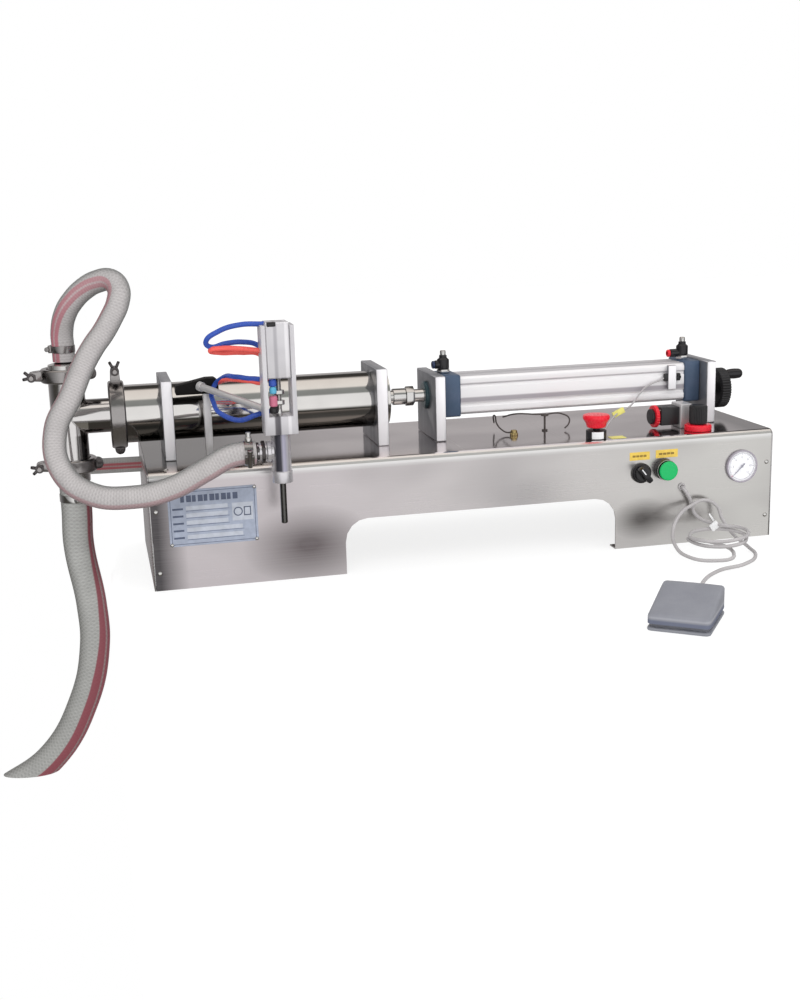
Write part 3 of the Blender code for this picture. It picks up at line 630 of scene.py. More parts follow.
def plate_metal():
    """Milled plate, coloured by facing: painted light on its narrow front edge, and painted shade on its top
    and large faces.
    """
    s = Surface("plate", "aluminium_plate", (0.86, 0.855, 0.865), 0.4, 0.5)
    facing = s.facing()
    # Painted light and shade by facing: pale on the narrow edges, dark on the large faces and the top.
    side = s.span(s.math("ABSOLUTE", facing[0]), 0, 1, 0.35, 0.85)
    side = s.math("MAXIMUM", side, s.span(facing[2], 0, 0.8, 0.45, 0.90))
    grain = s.noise(90, 3, (1, 1, 0.1))
    cloud = s.noise(14, 2)
    edge = s.uneven(cloud, (0.90, 0.885, 0.905), (0.82, 0.80, 0.825))
    face = s.uneven(cloud, (0.30, 0.305, 0.325), (0.22, 0.225, 0.245))
    s.set("Metallic", s.span(side, 0.12, 0.75, 0, 1))
    return s.finish(s.mix(side, edge, face), s.span(grain, 0.30, 0.44), grain, 0.04)


def barrel_metal():
    """White anodised profile with painted shade lines: a mauve one along its front groove and three finer
    ones.
    """
    s = Surface("barrel", "anodised_barrel", (0.9, 0.885, 0.895), 0.4, 0.35)
    height = s.place()[2]
    cloud = s.noise(6, 2, (0.25, 1, 1))
    tone = s.uneven(cloud, (0.93, 0.915, 0.925), (0.86, 0.845, 0.86))
    # Painted shade lines by height: the front groove and three finer lines.
    for lift, core, fade, strength, colour in (
        (-0.0075, 0.0026, 0.0050, 0.85, (0.36, 0.33, 0.365)),
        (0.0175, 0.0007, 0.0022, 0.6, (0.42, 0.40, 0.43)),
        (0.0310, 0.0012, 0.0026, 0.6, (0.30, 0.28, 0.30)),
        (-0.0300, 0.0010, 0.0024, 0.5, (0.36, 0.34, 0.37)),
    ):
        tone = s.tint(tone, colour, s.near(height, AXIS.z + lift, core, fade), strength)
    return s.finish(tone, s.span(cloud, 0.38, 0.46), cloud, 0.03)


def nozzle_metal():
    """Pale lavender extrusion with a few upright grooves; painted shade shows one as a soft grey line, with a
    painted highlight line beside it.
    """
    s = Surface("nozzle_metal", "aluminium_plate", (0.76, 0.74, 0.755), 0.3, 0.35)
    across, _, height = s.place()
    cloud = s.noise(24, 2)
    tone = s.uneven(cloud, (0.62, 0.605, 0.625), (0.55, 0.535, 0.56))
    # Painted shade along an upright groove, and a painted highlight line to its right.
    tone = s.tint(tone, (0.33, 0.32, 0.345), s.near(across, NOZZLE.x - 0.0035, 0.0012, 0.0034), 0.65)
    tone = s.tint(tone, (0.86, 0.84, 0.86), s.near(across, NOZZLE.x + 0.0115, 0.0014, 0.003), 0.6)
    # The frame's lower bridge carries the tube's dark reflection on.
    bridge = s.span(height, 1, 0, 0.2520 + BENCH, 0.2535 + BENCH)
    dark = s.times(s.near(across, NOZZLE.x - 0.0050, 0.0030, 0.0050), bridge)
    tone = s.tint(tone, (0.060, 0.055, 0.065), dark, 0.85)
    return s.finish(tone, s.span(cloud, 0.28, 0.40), cloud, 0.04)


def nozzle_tube_metal():
    """Polished tube with a painted dark upright reflection left of its middle and a painted lavender
    reflection beside it.
    """
    s = Surface("nozzle_tube_metal", "polished_steel", (0.8, 0.78, 0.8), 0.1, 0.75)
    place = s.place()
    across = s.math("SUBTRACT", place[0], NOZZLE.x)
    above = s.span(place[2], 0, 1, 0.1735 + BENCH, 0.1755 + BENCH)
    cloud = s.noise(40, 2)
    tone = s.uneven(cloud, (0.80, 0.775, 0.80), (0.70, 0.68, 0.71))
    # Painted reflections: lavender near the middle, dark left of it.
    lavender_reflection = s.times(s.near(across, 0.0020, 0.0020, 0.0060), above)
    tone = s.tint(tone, (0.30, 0.29, 0.40), lavender_reflection, 0.75)
    dark = s.times(s.near(across, -0.0055, 0.0030, 0.0062), above)
    tone = s.tint(tone, (0.018, 0.018, 0.030), dark, 0.95)
    return s.finish(tone, s.span(cloud, 0.16, 0.26), cloud, 0.03)


def moulded(name, slot, tint, low, high, grain_scale=420, grain=0.12, variation=0.85, **inputs):
    """Moulded plastic, rubber or paint: a fine grain and slightly uneven colour and gloss."""
    s = Surface(name, slot, tint, 0.4, 0.0, **inputs)
    fine = s.noise(grain_scale, 3)
    cloud = s.noise(30, 3)
    colour = s.uneven(cloud, tint, tuple(c * variation for c in tint))
    gloss = s.math("ADD", s.span(fine, low, high), s.span(cloud, -0.03, 0.03))
    return s.finish(colour, gloss, fine, grain, 0.0003)


def slate_paint():
    """Blue-grey enamel with a slight orange peel, on the cylinder's end caps."""
    s = Surface("slate_paint", "blue_cap", (0.1, 0.15, 0.21), 0.45, 0.15)
    peel = s.noise(320, 3)
    colour = s.uneven(s.noise(40, 3), (0.075, 0.108, 0.175), (0.055, 0.092, 0.155))
    return s.finish(colour, s.span(peel, 0.34, 0.52), peel, 0.15, 0.0003)


def hose_wall(name, clear, rim, stripe, turns, widths, strengths, runs, ribs=250.0, painted_shade=0.0):
    """Clear reinforced hose: fine ribs, painted shade towards its edges, with a double red stripe.

    Between the two `runs` (metres along the hose) the stripe moves round it from the first to
    the second of `turns`, its half width goes from the first to the second of `widths`
    (degrees), and its strength from the first to the second of `strengths`. Painted shade
    darkens the wall there, by `painted_shade`.
    """
    s = Surface(name, "clear_hose", clear, 0.34, 0.0, Coat_Weight=0.10, Coat_Roughness=0.2,
                Specular_IOR_Level=0.25, IOR=1.45)
    turn, run, _ = s.split(s.add("ShaderNodeUVMap", uv_map="UVMap").outputs[0])
    cloud = s.noise(40, 3)
    waver = s.math("MULTIPLY_ADD", cloud, 0.6, s.times(run, ribs))
    rib = s.span(s.math("SINE", s.times(waver, math.tau)), 0, 1, -1, 1)
    threads = []
    for slant in (1, -1):
        phase = s.math("ADD", s.times(turn, 16.0 * slant), s.times(run, 150.0))
        threads.append(s.span(s.math("SINE", s.times(phase, math.tau)), 0, 1, 0.5, 1.0))
    thread = s.math("MAXIMUM", *threads)
    facing = s.add("ShaderNodeLayerWeight")
    s.feed(facing, "Blend", 0.5)
    edge = s.span(facing.outputs["Facing"], 0, 1, 0.12, 0.70)
    body = s.mix(s.span(cloud, 0, 0.7, 0.35, 0.65), clear, tuple(c * 0.84 for c in clear))
    # Painted shade: the rim colour towards the hose's edges, by facing.
    body = s.mix(edge, body, rim)
    # Painted shade along the hose between the runs.
    body = s.mix(s.span(run, 0, painted_shade, *runs), body, rim)
    body = s.tint(body, tuple(c * 0.55 for c in clear), rib, 0.40)
    body = s.tint(body, (0.75, 0.74, 0.73), thread, 0.14)
    drift = s.span(run, *turns, *runs)
    away = s.math("COSINE", s.times(s.math("SUBTRACT", turn, drift), math.tau))
    width = s.math("COSINE", s.span(run, *[math.radians(w) for w in widths], *runs))
    inside = s.span(s.math("SUBTRACT", away, width), 0, 1, -0.012, 0.03)
    gap = s.span(away, 1, 0.45, math.cos(math.radians(7)), math.cos(math.radians(3)))
    amount = s.times(s.times(inside, gap), s.span(run, *strengths, *runs))
    relief = s.math("ADD", rib, thread)
    return s.finish(s.mix(amount, body, stripe), s.span(cloud, 0.26, 0.42), relief, 0.25, 0.0003)


def pedal_grey():
    """Grained grey casting with a painted highlight on its lip and a painted bluish shade band round its
    sides.
    """
    s = Surface("pedal_grey", "grey_plastic", (0.235, 0.240, 0.275), 0.5)
    fine = s.noise(700, 3)
    cloud = s.noise(30, 3)
    height = s.place()[2]
    side = s.span(s.facing()[2], 1, 0, 0.30, 0.65)
    grey = s.uneven(cloud, (0.250, 0.255, 0.285), (0.215, 0.220, 0.250))
    # Painted shade: a dark bluish band round the sides where the treadle meets the base.
    band = s.times(s.near(height, 0.0112 + BENCH, 0.0024, 0.0042), side)
    grey = s.tint(grey, (0.115, 0.130, 0.190), band, 0.9)
    # Painted highlight along the lip.
    lip = s.times(s.near(height, 0.0180 + BENCH, 0.0008, 0.0022), side)
    grey = s.tint(grey, (0.36, 0.365, 0.40), lip, 0.6)
    gloss = s.math("ADD", s.span(fine, 0.42, 0.56), s.span(cloud, -0.03, 0.03))
    return s.finish(grey, gloss, fine, 0.25, 0.0003)


def clear_lens():
    s = Surface("lens", "white_plastic", (1, 1, 1), 0.03, 0.0, Alpha=0.10, IOR=1.3)
    s.set("Roughness", s.span(s.noise(60), 0.02, 0.05))
    return s.material


def printed(name, slot, colour, spread=0.06):
    """Print, film or enamel: nearly even colour with a faint cloud."""
    s = Surface(name, slot, colour, 0.4)
    cloud = s.noise(120, 4)
    tone = s.uneven(cloud, colour, tuple(c * (1 - spread * 3) for c in colour))
    return s.finish(tone, s.span(cloud, 0.35, 0.5), cloud, 0.05)


STAINLESS = stainless_sheet()
BRIGHT_SHEET = panel_sheet()
POLISH_X = polished("polished_along_x", (14, 0.4, 0.4))
POLISH_Z = polished("polished_along_z", (0.4, 0.4, 14))
POLISH_Y = polished("polished_along_y", (0.4, 14, 0.4))
TUBE_POLISH = polished("tube_polish", (0.05, 6, 6), (0.83, 0.81, 0.79), 0.03, 0.09)
CAST = polished("cast_clamp", (4, 4, 4), (0.42, 0.40, 0.395), 0.12, 0.24)
CAST_DARK = polished("cast_dark", (4, 4, 4), (0.115, 0.105, 0.105), 0.16, 0.30)
DARK_TIP = polished("dark_tip", (0.4, 0.4, 14), (0.20, 0.195, 0.19), 0.12, 0.24)
TUBE_METAL = tube_metal()
TEE_METAL = tee_metal()
PLATE = plate_metal()
BARREL = barrel_metal()
NOZZLE_METAL = nozzle_metal()
NOZZLE_TUBE = nozzle_tube_metal()
SATIN = satin_aluminium()
BLUE_CAP = slate_paint()
BLACK = moulded("black_plastic", "black_plastic", (0.022, 0.021, 0.023), 0.34, 0.50)
BLACK_GLOSS = moulded("black_gloss", "black_plastic", (0.014, 0.013, 0.015), 0.14, 0.24)
JET = moulded("jet_black", "black_plastic", (0.007, 0.006, 0.006), 0.46, 0.60, Specular_IOR_Level=0.15)
RED = moulded("red_plastic", "red_plastic", (0.76, 0.012, 0.030), 0.22, 0.34, variation=0.9)
GREEN = moulded("green_plastic", "green_plastic", (0.0, 0.44, 0.115), 0.20, 0.30, variation=0.92)
WHITE = moulded("white_plastic", "white_plastic", (0.80, 0.80, 0.81), 0.30, 0.42, variation=0.94)
PEDAL_GREY = pedal_grey()
CABLE = moulded("grey_cable", "grey_cable", (0.46, 0.44, 0.445), 0.38, 0.52, 300, 0.10)
CORD_DARK = moulded("cord_dark", "grey_cable", (0.085, 0.072, 0.068), 0.38, 0.52, 300, 0.10)
TUBE_BLUE = moulded("blue_tube", "grey_cable", (0.032, 0.085, 0.42), 0.20, 0.30, variation=0.8)
CYAN = moulded("cyan_plastic", "white_plastic", (0.10, 0.42, 0.62), 0.24, 0.36)
NAVY = moulded("navy_collar", "black_plastic", (0.020, 0.035, 0.090), 0.24, 0.36)
TUBE_RED = moulded("red_tube", "grey_cable", (0.86, 0.115, 0.095), 0.20, 0.30, variation=0.88)
# Dark teal painted shade: it stands for the shadowed gap round the cylinder cap's boss in the front plate's
# hole.
TEAL_SHADE = moulded("teal_gland_shade", "black_plastic", (0.030, 0.060, 0.070), 0.22, 0.34)
BRASS = polished("brass", (3, 3, 3), (0.60, 0.47, 0.22), 0.18, 0.32)
YELLOW = printed("yellow_label", "white_plastic", (0.86, 0.60, 0.10))
TAG = printed("yellow_tag", "white_plastic", (0.86, 0.80, 0.22))
PLATE_INK = printed("plate_ink", "white_plastic", (0.085, 0.105, 0.170))
PLATE_BLUE = printed("plate_field", "white_plastic", (0.36, 0.40, 0.50))
PLATE_PALE = printed("plate_pale", "white_plastic", (0.50, 0.53, 0.60))
DIAL_WHITE = printed("dial_white", "white_plastic", (0.90, 0.90, 0.93), 0.02)
LABEL_INK = printed("label_ink", "black_plastic", (0.30, 0.19, 0.03))
PINK = printed("dial_mark", "red_plastic", (0.58, 0.16, 0.25))
GAUGE_RIM = moulded("gauge_rim", "white_plastic", (0.36, 0.33, 0.38), 0.22, 0.34)
GAUGE_INK = printed("gauge_ink", "black_plastic", (0.20, 0.20, 0.27))
LENS = clear_lens()
DISCHARGE = hose_wall(
    "discharge_wall", (0.455, 0.430, 0.428), (0.12, 0.125, 0.12), (0.36, 0.105, 0.135),
    (0.020, 0.160), (27, 34), (0.85, 0.34), (0.03, 0.27),
)
SUCTION = hose_wall(
    "suction_wall", (0.40, 0.40, 0.385), (0.11, 0.11, 0.10), (0.22, 0.045, 0.062),
    (0.830, 0.880), (22, 41), (0.9, 0.92), (0.10, 0.30), 190.0, 0.30,
)
RETURN = hose_wall(
    "return_wall", (0.50, 0.48, 0.465), (0.26, 0.26, 0.25), (0.50, 0.10, 0.12),
    (0.0, 0.0), (24, 24), (0.9, 0.9), (0.0, 1.0),
)


# Base ------------------------------------------------------------------------------------


def screw(at, way, radius=0.0035, height=0.0016):
    """A plain domed screw or rivet head whose top points along Z before `way` turns it."""
    dome = [(radius, 0), (radius * 0.9, height * 0.5), (radius * 0.55, height * 0.92), (0, height)]
    return lathe(dome, 0.0003, 28, way, at)


def base_parts():
    dress("base_shell", STAINLESS, 0.0)
    for side in ("left", "right"):
        dress(f"end_panel_{side}", BRIGHT_SHEET, 0.0004)
    dress("solenoid_valve", BLACK, 0.0008)
    heads = []
    for x, z in ((-0.471, 0.1155), (-0.471, 0.0257), (0.4705, 0.119), (0.471, 0.034)):
        heads.append(screw((x, PANEL, z + BENCH), TO_FRONT))
    for x in (-0.471, 0.471):
        for z in (0.034, 0.119):
            heads.append(screw((x, -PANEL, z + BENCH), TO_Y))
    piece("panel_screws", joined(heads), POLISH_Y)
    piece("deck_screw", screw((-0.452, -0.119, DECK), None, 0.0042, 0.002), POLISH_Z)


def nameplate():
    """A riveted plate with blank generic fields: no lettering."""
    low = Vector((-0.454, PANEL, 0.063 + BENCH))
    high = Vector((-0.328, PANEL, 0.145 + BENCH))
    thickness = 0.0008
    print_depth = 0.00012
    half = (high - low) / 2
    outline = rounded_outline(half.x, half.z, 0.003)
    sheet = prism(outline, 0, thickness, 0.0002, TO_FRONT, (low + high) / 2)

    def bar(x_low, x_high, z_low, z_high, proud=print_depth):
        near = (x_low, PANEL - thickness - proud, z_low)
        return block(near, (x_high, PANEL - 0.0006, z_high), 0.00003, 1)

    left = low.x + 0.006
    right = high.x - 0.006
    pale = []
    ink = []
    title_width = 0.0070
    for i in range(10):
        x = left + 0.012 + i * (title_width + 0.0012)
        ink.append(bar(x, x + title_width * (0.75 + 0.25 * (i % 2)), high.z - 0.0180, high.z - 0.0085))
    for row in range(5):
        z = high.z - 0.029 - row * 0.0105
        longer = 0.020 * (row > 2)
        ink.append(bar(left, left + 0.015, z, z + 0.0028))
        ink.append(bar(left + 0.019, right - 0.034 + longer, z - 0.0022, z - 0.0016))
        pale.append(bar(left + 0.019, right - 0.036 + longer, z - 0.0008, z + 0.0050))
    pale.append(bar(right - 0.030, right, high.z - 0.050, high.z - 0.024))
    # A generic mark: a ring beside an open oblong.
    depth = PANEL - thickness - 2 * print_depth
    spot = (right - 0.0215, 0, high.z - 0.037)
    ink.append(pipe(0.0066, 0.0050, depth, depth + print_depth * 2, 32, TO_Y, spot, 0.00003))
    for x_low, x_high, z_low, z_high in (
        (0.0120, 0.0134, 0.0304, 0.0436), (0.0032, 0.0046, 0.0304, 0.0436),
        (0.0032, 0.0134, 0.0304, 0.0320), (0.0032, 0.0134, 0.0420, 0.0436),
    ):
        ink.append(bar(right - x_high, right - x_low, high.z - z_high, high.z - z_low, 2 * print_depth))
    border = 0.0007
    for z in (low.z + 0.0028, high.z - 0.0035):
        ink.append(bar(low.x + 0.003, high.x - 0.003, z, z + border))
    for x in (low.x + 0.003, high.x - 0.0037):
        ink.append(bar(x, x + border, low.z + 0.0028, high.z - 0.0028))
    piece("nameplate", joined(sheet, pale, ink), [PLATE_BLUE, PLATE_PALE, PLATE_INK])
    rivets = []
    for x in (low.x + 0.0028, high.x - 0.0028):
        for z in (low.z + 0.0028, high.z - 0.0028):
            rivets.append(screw((x, PANEL - thickness, z), TO_FRONT, 0.0028, 0.0014))
    piece("nameplate_rivets", joined(rivets), POLISH_Y)


def plates():
    for node in ("tube_plate_left", "tube_plate_right", "cylinder_plate_front", "cylinder_plate_rear"):
        dress(node, PLATE, 0.0008)
    heads = []
    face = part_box("cylinder_plate_rear")[1].x
    for y in (-0.0225, 0.0225):
        for z in (AXIS.z - 0.0225, AXIS.z + 0.0225):
            heads.append(socket_head((face, y, z), TO_X))
    piece("plate_bolts", joined(heads), POLISH_X)
    # A dark seal ring where the measuring tube comes through its right plate.
    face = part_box("tube_plate_right")[1].x
    seal = pipe(0.0455, 0.0400, face - 0.0005, face + 0.0030, 96, TO_X, (0, 0, AXIS.z), 0.0008)
    piece("tube_seal", seal, BLACK)


def socket_head(at, way, radius=0.0045, height=0.0030):
    profile = [(0, 0.0012), (radius * 0.5, 0.0012), (radius * 0.5, height), (radius, height), (radius, 0)]
    return lathe(profile, 0.0004, 24, way, at)


# Cylinder line ---------------------------------------------------------------------------


def product_side():
    low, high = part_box("product_tube")
    at = (0, 0, AXIS.z)
    outer = 0.043
    ferrule = (high.z - low.z) / 2
    bore = 0.040
    profile = [
        (bore, low.x), (ferrule, low.x), (ferrule, low.x + 0.006), (outer, low.x + 0.0075),
        (outer, high.x), (bore, high.x), (bore, low.x),
    ]
    piece("measuring_tube", lathe(profile, 0.0006, 128, TO_X, at), TUBE_METAL,
          stands_for="product_tube")
    dress("product_piston", POLISH_X, 0.0)
    low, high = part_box("rod_coupling")
    nut = hex_nut(0.0155, low.x, high.x, TO_X, at)
    piece("coupling_nut", nut, POLISH_X, stands_for="rod_coupling")
    low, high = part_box("air_rod")
    piece("air_rod_bright", rod(0.010, low.x, high.x, ROUND, TO_X, at), TUBE_POLISH, stands_for="air_rod")
    low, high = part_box("product_piston")
    back = high.x - 0.020
    face = high.x - 0.0004
    sleeve = [(0.0102, back), (0.0128, back), (0.0128, face), (0.0102, face)]
    piece("rod_collar", lathe(sleeve, 0.0006, ROUND, TO_X, at), POLISH_X, body="piston")


def hex_nut(radius, low, high, way=None, at=(0, 0, 0)):
    """A hexagon with its corners turned off at both faces."""
    outline = [(radius * math.cos(math.tau * i / 6), radius * math.sin(math.tau * i / 6)) for i in range(6)]
    return prism(outline, low, high, min(0.0009, (high - low) * 0.2), way, at)


def air_side():
    dress("air_barrel", BARREL, 0.0005)
    dress("air_cap_rear", BLUE_CAP, 0.0008)
    dress("air_cap_front", BLUE_CAP, 0.0008)
    dress("air_piston", BARREL, 0.0)
    dress("stop_bumper", BLACK, 0.0)
    at = (0, 0, AXIS.z)
    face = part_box("cylinder_plate_front")[0].x
    gland = [(0.0104, face - 0.0055), (0.0185, face - 0.0055), (0.0215, face - 0.0040),
             (0.0215, face + 0.0005), (0.0104, face + 0.0005), (0.0104, face - 0.0055)]
    # The gland is coloured dark teal as painted shade for the shadowed gap round it.
    piece("rod_gland", lathe(gland, 0.0005, ROUND, TO_X, at), TEAL_SHADE)
    low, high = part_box("stop_spindle")
    profile = [(0, low.x), *thread(0.0050, 0.0006, 0.0012, low.x, high.x), (0.0050, high.x), (0, high.x)]
    at = (0, 0, middle("handwheel").z)
    piece("stop_thread", turned(profile, 36, TO_X, at), POLISH_X, stands_for="stop_spindle")


def handwheel_parts():
    low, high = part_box("handwheel")
    stop = (low + high) / 2
    radius = (high.z - low.z) / 2
    hub = 0.010
    face = low.x + 0.011
    at = (0, 0, stop.z)
    profile = [
        (0, low.x), (hub, low.x), (hub, face + 0.003), (radius - 0.009, face + 0.0045),
        (radius - 0.006, face), (radius, face + 0.002), (radius, high.x - 0.002),
        (radius - 0.006, high.x), (radius - 0.009, high.x - 0.004), (hub, high.x - 0.004),
        (hub - 0.001, high.x - 0.001), (0, high.x - 0.001),
    ]
    wheel = lathe(profile, 0.0012, 264, TO_X, at, (44, 0.0016, face - 0.0002, high.x + 0.0002))
    piece("handwheel_rim", wheel, BLACK, stands_for="handwheel", smooth=50)
    low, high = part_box("handwheel_grip")
    z = (low.z + high.z) / 2
    profile = [(0, low.x), (0.005, low.x), (0.0062, low.x + 0.002), (0.0078, low.x + 0.007),
               (0.0085, low.x + 0.017), (0.0078, high.x - 0.004), (0.005, high.x), (0, high.x)]
    piece("crank_grip", lathe(profile, 0.0025, SMALL, TO_X, (0, 0, z)), BLACK_GLOSS,
          stands_for="handwheel_grip")


def flow_control(end, collar_material, reach, drop):
    """A flow regulator on a cap: body, elbow with its release collar, and adjusting screw.

    `reach` is how far the elbow comes out to the left, and `drop` how low it sits.
    """
    low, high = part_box(f"flow_body_{end}")
    x = (low.x + high.x) / 2
    at = (x, 0, 0)
    body = [(0, low.z), (0.007, low.z), (0.007, low.z + 0.006), (0.0095, low.z + 0.007),
            (0.0095, low.z + 0.021), (0.006, low.z + 0.024), (0.006, high.z), (0, high.z)]
    z = low.z + 0.0135 - drop
    elbow_end = x - reach
    arm = [(0, -x - 0.003), (0.0066, -x - 0.003), (0.0066, -elbow_end - 0.001), (0.0048, -elbow_end),
           (0, -elbow_end)]
    elbow = lathe(arm, 0.0006, SMALL, TO_LEFT, (0, 0, z))
    nut = hex_nut(0.0105, low.z + 0.0002, low.z + 0.0062, None, at)
    whole = joined([lathe(body, 0.0008, SMALL, None, at), elbow], nut)
    piece(f"flow_control_{end}", whole, [BLACK_GLOSS, POLISH_Z], stands_for=f"flow_body_{end}")
    ring = [(0.0035, 0), (0.0060, 0), (0.0060, 0.0028), (0.0052, 0.0040), (0.0035, 0.0040)]
    collar = lathe(ring, 0.0005, SMALL, TO_LEFT, (elbow_end, 0, z))
    piece(f"release_collar_{end}", collar, collar_material)
    low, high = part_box(f"flow_screw_{end}")
    profile = [(0, low.z), (0.0045, low.z), (0.0045, high.z - 0.001), (0.0035, high.z), (0, high.z)]
    screw_top = lathe(profile, 0.0003, 72, None, at, (18, 0.0006, low.z + 0.0005, high.z - 0.0012))
    piece(f"flow_adjuster_{end}", screw_top, POLISH_Z, stands_for=f"flow_screw_{end}")


# Product tee -----------------------------------------------------------------------------


def tee_parts():
    low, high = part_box("tee_body")
    ferrule = 0.032
    outer = 0.0255
    inner = 0.0238
    face = high.x
    upright = [
        (inner, low.z), (ferrule, low.z), (ferrule, low.z + 0.0056), (outer, low.z + 0.0070),
        (outer, high.z - 0.0070), (ferrule, high.z - 0.0056), (ferrule, high.z), (inner, high.z),
        (inner, low.z),
    ]
    pipe_part = lathe(upright, 0.0007, 96, None, (TEE.x, 0, 0))
    branch_profile = [
        (outer - 0.0003, TEE.x + 0.006), (outer - 0.0003, face - 0.0105), (0.0300, face - 0.0080),
        (0.0455, face - 0.0062), (0.0455, face), (inner, face), (inner, TEE.x + 0.010),
    ]
    branch = lathe(branch_profile, 0.0010, 96, TO_X, (0, 0, AXIS.z))
    bead = []
    for i in range(73):
        angle = math.tau * i / 72
        y = (outer - 0.0003) * math.cos(angle)
        z = (outer - 0.0003) * math.sin(angle)
        bead.append(Vector((TEE.x + math.sqrt(max(outer ** 2 - y ** 2, 0)), y, AXIS.z + z)))
    weld = swept(bead, 0.0009, 8, (1, 0, 0))
    piece("tee_pipe", joined([pipe_part, branch, weld]), TEE_METAL, stands_for="tee_body")


def valve_parts():
    low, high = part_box("outlet_valve_body")
    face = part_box("tee_body")[1].z + 0.0006
    top = [
        (0.012, face), (0.032, face), (0.032, face + 0.0059), (0.0245, face + 0.0069),
        (0.0240, face + 0.0149), (0.0150, face + 0.0175), (0.0124, face + 0.0180),
    ]
    barb = []
    z = face + 0.0200
    while z + 0.006 < high.z:
        barb += [(0.0118, z), (0.0124, z + 0.001), (0.0116, z + 0.006)]
        z += 0.006
    top += barb + [(0.0116, high.z), (0.0105, high.z), (0.0105, face + 0.002), (0.012, face)]
    piece("outlet_valve", lathe(top, 0.0006, 96, None, (TEE.x, 0, 0)), POLISH_Z,
          stands_for="outlet_valve_body")
    low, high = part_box("inlet_valve_body")
    face = high.z
    bottom = [
        (0.021, face), (0.032, face), (0.032, face - 0.0058), (0.0245, face - 0.0068),
        (0.0240, face - 0.0248), (0.0190, face - 0.0270), (0.0177, face - 0.0278),
    ]
    z = face - 0.030
    while z - 0.007 > low.z:
        bottom += [(0.0172, z), (0.0177, z - 0.001), (0.0168, z - 0.007)]
        z -= 0.007
    bottom += [(0.0168, low.z), (0.0160, low.z), (0.0160, face - 0.022), (0.021, face)]
    body = lathe(bottom, 0.0006, 96, None, (TEE.x, 0, 0))
    stub = rod(0.0085, 0.0215, high.y, SMALL, TO_Y, (TEE.x, 0, RETURN_PORT))
    collar = rod(0.0110, 0.0230, 0.0275, SMALL, TO_Y, (TEE.x, 0, RETURN_PORT))
    piece("inlet_valve", joined([body, stub, collar]), POLISH_Z, stands_for="inlet_valve_body")
    dress("outlet_poppet", POLISH_Z, 0.0)
    dress("inlet_poppet", POLISH_Z, 0.0)


def clamp(node, name, lip, outer, half_width, flange_half, way, at, lug_way, bolt_reach):
    """A two-part clamp ring, with its bolt on one side and its hinge on the other."""
    profile = [
        (lip, -half_width), (outer - 0.002, -half_width), (outer, -half_width + 0.002),
        (outer, half_width - 0.002), (outer - 0.002, half_width), (lip, half_width),
        (lip, flange_half), (outer - 0.005, flange_half * 0.7), (outer - 0.005, -flange_half * 0.7),
        (lip, -flange_half), (lip, -half_width),
    ]
    shapes = [lathe(profile, 0.0008, 96, way, at)]
    for side in (-1, 1):
        near, far = sorted((side * 0.0040, side * 0.0100))
        outline = [(outer - 0.003, -0.0075), (bolt_reach - 0.003, -0.0065)]
        outline += arc((bolt_reach - 0.0015, 0), 0.0065, -60, 60, 8)
        outline += [(bolt_reach - 0.003, 0.0065), (outer - 0.003, 0.0075)]
        lug = prism(outline, near, far, 0.0008, SHEET_TO_XZ)
        shapes.append(placed(lug, lug_way, at))
    bolt_at = Vector(at) + lug_way @ Vector((bolt_reach, 0, 0))
    bolt = [(0, -0.0265), *thread(0.0030, 0.0004, 0.0012, -0.0265, 0.004)]
    bolt += [(0.0030, 0.004), (0.0030, 0.0102), (0.0052, 0.0104), (0.0052, 0.0128), (0, 0.0136)]
    shapes.append(turned(bolt, 28, TO_Y, bolt_at))
    piece(name, joined(shapes), CAST, stands_for=node)
    # The hinge: three knuckles on a pin.
    back = lug_way @ spin(180, "Y")
    hinge = []
    for low, high in ((-0.0100, -0.0042), (-0.0036, 0.0036), (0.0042, 0.0100)):
        outline = [(outer - 0.003, -0.0080)] + arc((outer + 0.0015, 0), 0.0074, -80, 80, 8)
        outline.append((outer - 0.003, 0.0080))
        hinge.append(placed(prism(outline, low, high, 0.0010, SHEET_TO_XZ), back, at))
    pin_at = Vector(at) + back @ Vector((outer + 0.0025, 0, 0))
    hinge.append(rod(0.0022, -0.0115, 0.0115, 20, TO_Y, pin_at))
    piece(f"{name}_hinge", joined(hinge), CAST_DARK)


def wing_nut(node, name, lean, reach):
    """Two thick rounded wings that spread from a turned hub, about Y."""
    joint_of = {joint["child"]: joint for joint in frame["joints"]}
    at = Vector(joint_of[BODY_OF[node]]["pos_m"])
    hub = [(0.0033, -0.005), (0.0066, -0.005), (0.0056, 0.005), (0.0033, 0.005), (0.0033, -0.005)]
    shapes = [lathe(hub, 0.0007, SMALL, TO_Y, at)]
    for spread in (-26, 26):
        outline = [(-0.0032, 0.0035), (0.0032, 0.0035), (0.0037, reach - 0.0050)]
        outline += arc((0, reach - 0.0042), 0.0036, 0, 180, 8) + [(-0.0037, reach - 0.0050)]
        wing = prism(outline, -0.0021, 0.0021, 0.0010, spin(90, "Z") @ SHEET_TO_XZ)
        shapes.append(placed(wing, spin(lean + spread, "Y"), at))
    piece(name, joined(shapes), CAST_DARK, stands_for=node)


def clamps():
    left = spin(180, "Z")
    joint = (middle("main_clamp").x, 0, AXIS.z)
    clamp("main_clamp", "tube_clamp", 0.0440, 0.050, 0.0115, 0.0085, TO_X, joint, TO_LEFT, 0.066)
    wing_nut("main_wing_nut", "tube_clamp_nut", 0, 0.0166)
    for level, lean in (("upper", -75), ("lower", -105)):
        at = (TEE.x, 0, middle(f"{level}_clamp").z)
        clamp(f"{level}_clamp", f"{level}_pipe_clamp", 0.0268, 0.0355, 0.0100, 0.0080, None, at, left, 0.0475)
        wing_nut(f"{level}_wing_nut", f"{level}_pipe_nut", lean, 0.0136)


# Hoses, tubes and cables -----------------------------------------------------------------


def at_height(points):
    """Points given with their height over the bench."""
    return [Vector((x, y, z + BENCH)) for x, y, z in points]


